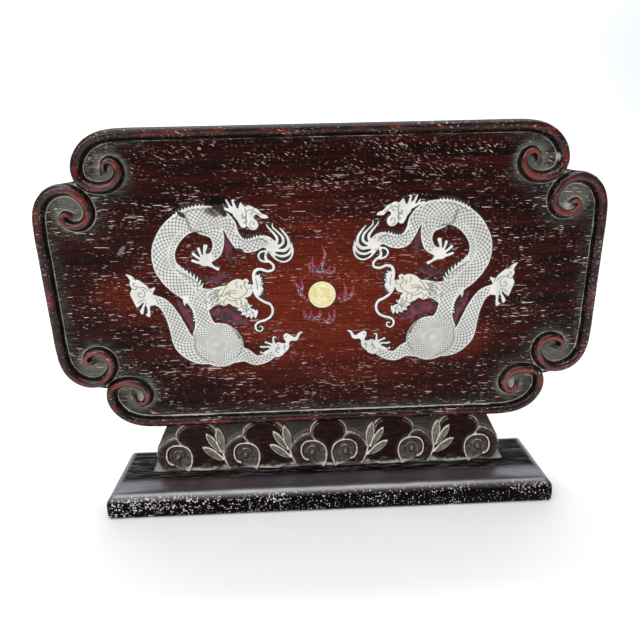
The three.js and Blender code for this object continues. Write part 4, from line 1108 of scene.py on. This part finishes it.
# The apron is a block with a leaning front, carved with scrolls, clouds and leaves, dusty in its hollows,
# with painted shade as dark lines in its grooves and pale lines of dust and painted highlight along its
# raised edges. Its parts are drawn along the front from the foot of one scroll, as the carver would set them
# out.
apron_foot, apron_top = apron_low[2], apron_high[2]
lean = math.radians(23.7)
face_foot = 0.75 + (apron_foot - plinth_top) * math.tan(lean)
face = Drawing((-103, -1.2), (103, apron_top - apron_foot + 1.2), 0.32)


def soften(values, reach):
    """Values averaged over a square of so many cells each way."""
    for axis in (0, 1):
        padded = np.concatenate([np.repeat(values.take([0], axis), reach + 1, axis), values,
                                 np.repeat(values.take([-1], axis), reach, axis)], axis)
        total = np.cumsum(padded, axis)
        size = values.shape[axis]
        high = total.take(range(2 * reach + 1, size + 2 * reach + 1), axis)
        values = (high - total.take(range(size), axis)) / (2 * reach + 1)
    return values


def rounded(gap, width, height):
    """The height of a raised form whose edge is rounded over a width."""
    share = np.clip(-gap / width, 0, 1)
    return height * np.sqrt(1 - (1 - share) ** 2)


# one unit of the apron's pattern, 39.1 wide, drawn from the outer foot of its scroll
first_unit, unit_pitch = 10.1, 39.1
ring = [
    (6.6, -1), (8.2, 3), (8.6, 7), (7.4, 10.6), (4.4, 13), (0.2, 13.9), (-3.4, 13.3), (-5.6, 11.3),
    (-6.2, 8.4), (-5.7, 5.8), (-4.2, 3.8), (-2.2, 3.0)]
volute = [
    (-1.4, 19), (-7.3, 16.8), (-11.2, 13), (-12.8, 8), (-11.4, 3.6), (-7.4, -1), (6.6, -1), (8.2, 3),
    (8.6, 7), (7.4, 10.6), (4.4, 13), (1.4, 15.4)]
collar = [
    (-2.7, 4.8, 0.9), (-3.2, 7.2, 1.0), (-1.9, 9.6, 1.1), (0.6, 10.4, 1.1), (3, 9.2, 1.0), (3.9, 7, 0.7)]
leaves = [
    [(26.2, 9.2, 1), (25.6, 12, 3.4), (24.8, 16.2, 4.8), (23.8, 20, 3.4), (23.2, 22.6, 0.8)], [(25.2, 9, 1),
    (23, 11.6, 2.8), (20.2, 15, 3.8), (18, 18, 2.6), (16.8, 19.8, 0.6)], [(27, 4.6, 1), (24, 6, 3),
    (20, 8.6, 4), (16.6, 10.8, 2.8), (14.6, 12.2, 0.6)]]
hillock = [(11.4, -2), (12.4, 1), (15, 2.9), (18.4, 3), (20.8, 1.4), (21.8, -2)]
stem = [(30.4, -1, 0.9), (28.2, 3, 1.1), (26.8, 6.4, 1.2), (26, 10, 0.8)]
# Pale lines along the raised edges are dust with a painted highlight; dark lines beside them are painted
# shade.
height, dome_share, leaf_share, scroll_share, edge_dust_and_highlight, painted_groove_shade, button_share, bowl_dust_and_shade = [
    face.blank(0) for _ in range(8)]
outer = face.loop([(-96.2, 0), (-100.2, 5.75), (-100.2, 11.8), (-94.6, 23.6), (94.6, 23.6), (100.2, 11.8),
                   (100.2, 5.75), (96.2, 0)], 0)


def dome_rim(dome, middle):
    """A dome's double rim, and the groove within it, both fainter above the dome's middle."""
    shoulder = np.clip((np.abs(face.x - middle)[:, None] - 2.5) / 4, 0.3, 1)
    return shoulder * np.maximum(bell(dome + 0.35, 0.38), 0.7 * bell(dome + 1.6, 0.27)), shoulder


for hand in (1, -1):
    for index in range(3):
        middle = first_unit + unit_pitch * index

        def spots_of(rows):
            """Rows of the drawing on the apron's front."""
            return [(hand * (row[0] - middle), row[1] * 0.913 + 0.7, *row[2:]) for row in rows]

        scroll = face.loop(spots_of(volute))
        outer = np.minimum(outer, scroll)
        scroll_share = np.maximum(scroll_share, np.clip(-scroll / 1.5, 0, 1))
        if index > 0:
            arc = [(10.9 + 12.3 * math.cos(a), 19 + 7.5 * math.sin(a)) for a in np.linspace(0, math.pi, 13)]
            dome = face.loop(spots_of([(-1.4, -2), (26.8, -2), (26.8, 12), *arc]))
            height = np.maximum(height, rounded(dome, 1.0, 2.0))
            dome_share = np.maximum(dome_share, np.clip(-dome / 1.2, 0, 1))
            rim, shoulder = dome_rim(dome, hand * (10.9 - middle))
            high = (face.y > 9)[None, :]
            edge_dust_and_highlight = np.maximum(edge_dust_and_highlight, rim * high)
            painted_groove_shade = np.maximum(painted_groove_shade, bell(dome + 1.0, 0.25) * shoulder * high)
            height -= 0.6 * bell(dome + 1.0, 0.32) * shoulder * high
            mound = face.loop(spots_of(hillock))
            height = np.maximum(height, rounded(mound, 1.2, 2.7))
            edge_dust_and_highlight = np.maximum(edge_dust_and_highlight, 0.4 * bell(mound + 0.4, 0.35))
        apart = np.clip(scroll / 0.4 + 0.5, 0, 1)
        dome_share, leaf_share, edge_dust_and_highlight = dome_share * apart, leaf_share * apart, edge_dust_and_highlight * apart
        height = np.maximum(height * apart, rounded(scroll, 1.3, 2.7))
        edge_dust_and_highlight = np.maximum(edge_dust_and_highlight, 0.65 * bell(scroll + 0.5, 0.42))
        ridge, run, side = face.along(smooth_line(spots_of([(*row, 1.5) for row in ring]), 0.35))
        bowl = face.loop(spots_of(ring))
        dish = 0.7 + 1.0 * np.clip(1 + bowl / 4, 0, 1)
        height = np.where(bowl < 0, dish, height)
        x, y = spots_of([(0.3, 6.5)])[0][:2]
        # Dust in each bowl, faded out towards its top and one side: that fading is painted shade for the
        # ridge's shadow.
        toward = 0.5 + 0.09 * hand * (face.x[:, None] - x) - 0.05 * (face.y[None, :] - y)
        bowl_dust_and_shade = np.maximum(bowl_dust_and_shade, np.clip(-bowl / 0.8, 0, 1) * np.clip(toward, 0.05, 1))
        roll = np.sqrt(np.clip(1 - ((ridge + 0.75) / 0.95).clip(0) ** 2, 0, 1))
        height = np.maximum(height, 3.25 * roll * (ridge < 0.2))
        edge_dust_and_highlight = np.maximum(edge_dust_and_highlight, bell(ridge + 0.75, 0.45))
        painted_groove_shade = np.maximum(painted_groove_shade, bell(ridge - 0.35, 0.32))
        lip = face.band(spots_of(collar))
        height = np.maximum(height, rounded(lip, 0.5, 2.6))
        edge_dust_and_highlight = np.maximum(edge_dust_and_highlight, 0.6 * np.clip(-lip / 0.4, 0, 1))
        knob = face.round(x, y, 2.35)
        height = np.maximum(height, rounded(knob, 2.2, 3.2))
        height -= 0.5 * bell(knob - 0.3, 0.4) * (knob > 0)
        button_share = np.maximum(button_share, np.clip(-knob / 0.6, 0, 1) * (1 if index < 2 else 0.3))
        if index > 0:
            for leaf in leaves:
                gap, run, side = face.along(smooth_line(spots_of(leaf), 0.3))
                blade = rounded(gap, 0.7, 3.1) - 1.0 * np.clip((-gap - 0.55) / 0.5, 0, 1)
                blade += 0.7 * bell(side, 0.3) * np.clip(-gap / 0.6, 0, 1)
                height = np.where(gap < 0, np.maximum(blade, 0.6), height)
                edge_dust_and_highlight = np.where(gap < 0, bell(gap + 0.3, 0.36), edge_dust_and_highlight)
                ring_in = 0.7 * bell(gap + 0.85, 0.2) + 0.5 * bell(side, 0.2) * (gap < -0.5)
                painted_groove_shade = np.where(gap < 0, ring_in, np.maximum(painted_groove_shade, bell(gap - 0.3, 0.3)))
                leaf_share = np.maximum(leaf_share, np.clip(-gap / 0.4, 0, 1))
            vein = face.band(spots_of(stem))
            height = np.maximum(height, rounded(vein, 0.6, 3.2))
            edge_dust_and_highlight = np.maximum(edge_dust_and_highlight, np.clip(-vein / 0.4, 0, 1))
arc = [(10.9 * math.cos(a), 18.0 + 6.9 * math.sin(a)) for a in np.linspace(0, math.pi, 13)]
dome = face.loop([(-10.1, -2), (10.1, -2), *arc])
free = (height < 0.4) & (dome < 0.8)
height = np.where(free, rounded(dome, 1.0, 2.0) - 0.6 * bell(dome + 1.0, 0.32), height)
dome_share = np.where(free, np.clip(-dome / 1.2, 0, 1), dome_share)
edge_dust_and_highlight = np.where(free, np.maximum(edge_dust_and_highlight, dome_rim(dome, 0)[0]), edge_dust_and_highlight)
height = np.clip(height, 0, 3.3)
outer = np.maximum(outer, np.maximum(-face.y, face.y - (apron_top - apron_foot))[None, :])
net = staggered_net(np.arange(-102, 102, 0.4), np.arange(0.2, 24, 0.36), 0.4)
net = net[face.at(outer, net) < -0.2]


def carved(spots, rim_count):
    """The apron's leaning front with its carving, a little uneven from the hand."""
    flat = np.column_stack([spots[:, 0], np.zeros(len(spots)), spots[:, 1]])
    rise = face.at(soften(height, 1), spots) + 0.08 * wander(flat, 6) + 0.05 * wander(flat, 2, 4.0)
    front_y = face_foot + spots[:, 1] * math.tan(lean) - np.maximum(rise, -0.02) / math.cos(lean)
    return np.column_stack([spots[:, 0], front_y, spots[:, 1] + apron_foot])


points, faces, spots, rim_count = saw_out(face, outer, net, carved, apron_high[1])
around = soften(height, 5)
layers = on_points(face, {
    "hollow": np.clip((around - height) / 0.9, 0, 1), "crest": np.clip((height - around) / 0.8, 0, 1),
    "dome": dome_share * (height < 2.3), "leaf": leaf_share, "edge": np.clip(edge_dust_and_highlight, 0, 1),
    "button": button_share, "bowl": bowl_dust_and_shade, "scroll": scroll_share, "dark": np.clip(painted_groove_shade, 0, 1),
    "ground": np.clip(1 - height / 1.2, 0, 1), "low": np.exp(-face.y[None, :] / 2.2) + 0 * height},
    spots, rim_count)

apron_wood, colour, roughness, relief = rosewood(
    "apron_rosewood", (0.0026, 0.0016, 0.0015), (0.014, 0.0036, 0.0032))
mottle = apron_wood.clouds((2.6, 2.6, 1.6), (2, 8, 2), detail=5.0, rough=0.7)
fibre = apron_wood.clouds((9, 0.7, 0.7), (1, 6, 3), detail=4.0, rough=0.7)
hollow, ground_share, bowl = [apron_wood.layer(name) for name in ("hollow", "ground", "bowl")]
body_share = (apron_wood.layer("scroll") - bowl).most(0.0)
colour = apron_wood.coats(
    colour,
    (apron_wood.layer("dome") * 0.9,
     apron_wood.tint(fibre.ramp(0.5, 0.72), (0.0085, 0.0018, 0.0018), (0.085, 0.018, 0.015))),
    (body_share * 0.7, (0.034, 0.008, 0.007)),
    # painted sheen: patches of bluish grey reflection over the scrolls' bodies
    (body_share * (mottle.ramp(0.42, 0.7) * 0.8), (0.060, 0.066, 0.064)),
    # dust in the bowls, with painted shade where it fades
    (bowl * (mottle.ramp(0.35, 0.65) * 0.7 + 0.15), (0.13, 0.128, 0.11)),
    (ground_share * (fibre.ramp(0.35, 0.7) * 0.6 + 0.3), (0.085, 0.078, 0.062)),
    ((hollow * 1.2 + mottle * 0.8 - 0.5).ramp(0.0, 0.9) * 0.8, (0.13, 0.125, 0.11)),
    (apron_wood.layer("leaf") * (mottle.ramp(0.3, 0.7) * 0.6 + 0.4), (0.24, 0.24, 0.20)),
    # painted shade: dark lines beside the rims and ridges and inside the leaves
    (apron_wood.layer("dark") * 0.85, (0.0030, 0.0020, 0.0020)),
    # pale lines on the raised edges: dust and painted highlight
    ((apron_wood.layer("edge") * 1.4 + mottle * 1.2 - 1.05).ramp(0.0, 0.75) * 0.95, (0.80, 0.67, 0.58)),
    (apron_wood.layer("button") * 0.8, (0.075, 0.022, 0.014)),
    ((apron_wood.layer("low") * 1.1 + mottle * 0.9 - 0.9).ramp(0.0, 0.6) * 0.9, (0.60, 0.58, 0.52)))
apron_wood.surface(
    colour, roughness + hollow * 0.3, relief + fibre * ground_share, 0.12, Specular_IOR_Level=0.12,
    Coat_Weight=apron_wood.layer("crest") * 0.7, Coat_Roughness=0.25, Coat_IOR=1.8)
apron = make_piece("apron_block", points, faces, apron_wood, layers, 50)
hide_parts("apron")

# The screen stands on a pale table in soft light from above, with a pale wall well behind it.
backdrop = bpy.data.meshes.new("table_and_wall")
sweep = [(-1.6, 0.0), (1.3, 0.0)]
for step in range(1, 9):
    angle = step * math.pi / 16
    sweep.append((1.3 + 0.5 * math.sin(angle), 0.5 - 0.5 * math.cos(angle)))
sweep += [(1.8, 2.6)]
wide = 3.0
corners = [(side * wide, y, z) for y, z in sweep for side in (-1, 1)]
backdrop.from_pydata(corners, [], [[2 * i, 2 * i + 1, 2 * i + 3, 2 * i + 2] for i in range(len(sweep) - 1)])
backdrop.polygons.foreach_set("use_smooth", [True] * len(backdrop.polygons))
table_finish = Finish("pale_table")
table_finish.surface(
    table_finish.tint(table_finish.clouds((300, 300, 300)), (0.80, 0.80, 0.80), (0.84, 0.84, 0.84)), 0.7,
    table_finish.clouds((3, 3, 3)), 0.01)
backdrop.materials.append(table_finish.material)
table = bpy.data.objects.new("table_and_wall", backdrop)
bpy.context.scene.collection.objects.link(table)


def area_light(name, place, aim, size, power, colour):
    """A soft square light at a place in metres, turned to another."""
    lamp = bpy.data.lights.new(name, "AREA")
    lamp.shape = "RECTANGLE"
    lamp.size, lamp.size_y = size
    lamp.energy = power
    lamp.color = colour
    light = bpy.data.objects.new(name, lamp)
    light.location = place
    light.rotation_euler = (Vector(aim) - Vector(place)).to_track_quat("-Z", "Y").to_euler()
    bpy.context.scene.collection.objects.link(light)


area_light("overhead", (-0.1, -0.1, 1.5), (0, 0.05, 0.1), (1.6, 1.4), 20, (0.97, 0.98, 1.0))
area_light("front_left", (-0.9, -1.1, 0.9), (0, 0, 0.12), (0.9, 0.9), 8, (1.0, 0.99, 0.97))
area_light("wall_wash", (0.0, 0.9, 1.9), (0, 1.7, 0.4), (2.4, 0.5), 40, (0.88, 0.93, 1.0))
world = bpy.data.worlds.new("room")
world.use_nodes = True
world.node_tree.nodes["Background"].inputs["Color"].default_value = (1, 1, 1, 1)
world.node_tree.nodes["Background"].inputs["Strength"].default_value = 0.36
bpy.context.scene.world = world
bpy.context.scene.view_settings.view_transform = "Standard"

# The camera stands where the photograph was taken from, a little left of the middle and above the top.
yaw, pitch, roll = math.radians(1.674), math.radians(18.408), math.radians(-1.350)
ahead = Vector((math.sin(yaw) * math.cos(pitch), math.cos(yaw) * math.cos(pitch), -math.sin(pitch)))
level = Vector((math.cos(yaw), -math.sin(yaw), 0))
upright = level.cross(ahead)
right = math.cos(roll) * level + math.sin(roll) * upright
up = math.cos(roll) * upright - math.sin(roll) * level
camera = bpy.data.objects.new("camera", bpy.data.cameras.new("camera"))
camera.data.sensor_width = 36.0
camera.data.lens = 545.263 / 640 * 36.0
camera.data.clip_start = 0.01
camera.matrix_world = Matrix.Translation((-0.011728, -0.27723, 0.194766)) @ Matrix(
    (right, up, -ahead)).transposed().to_4x4()
bpy.context.scene.collection.objects.link(camera)
bpy.context.scene.camera = camera
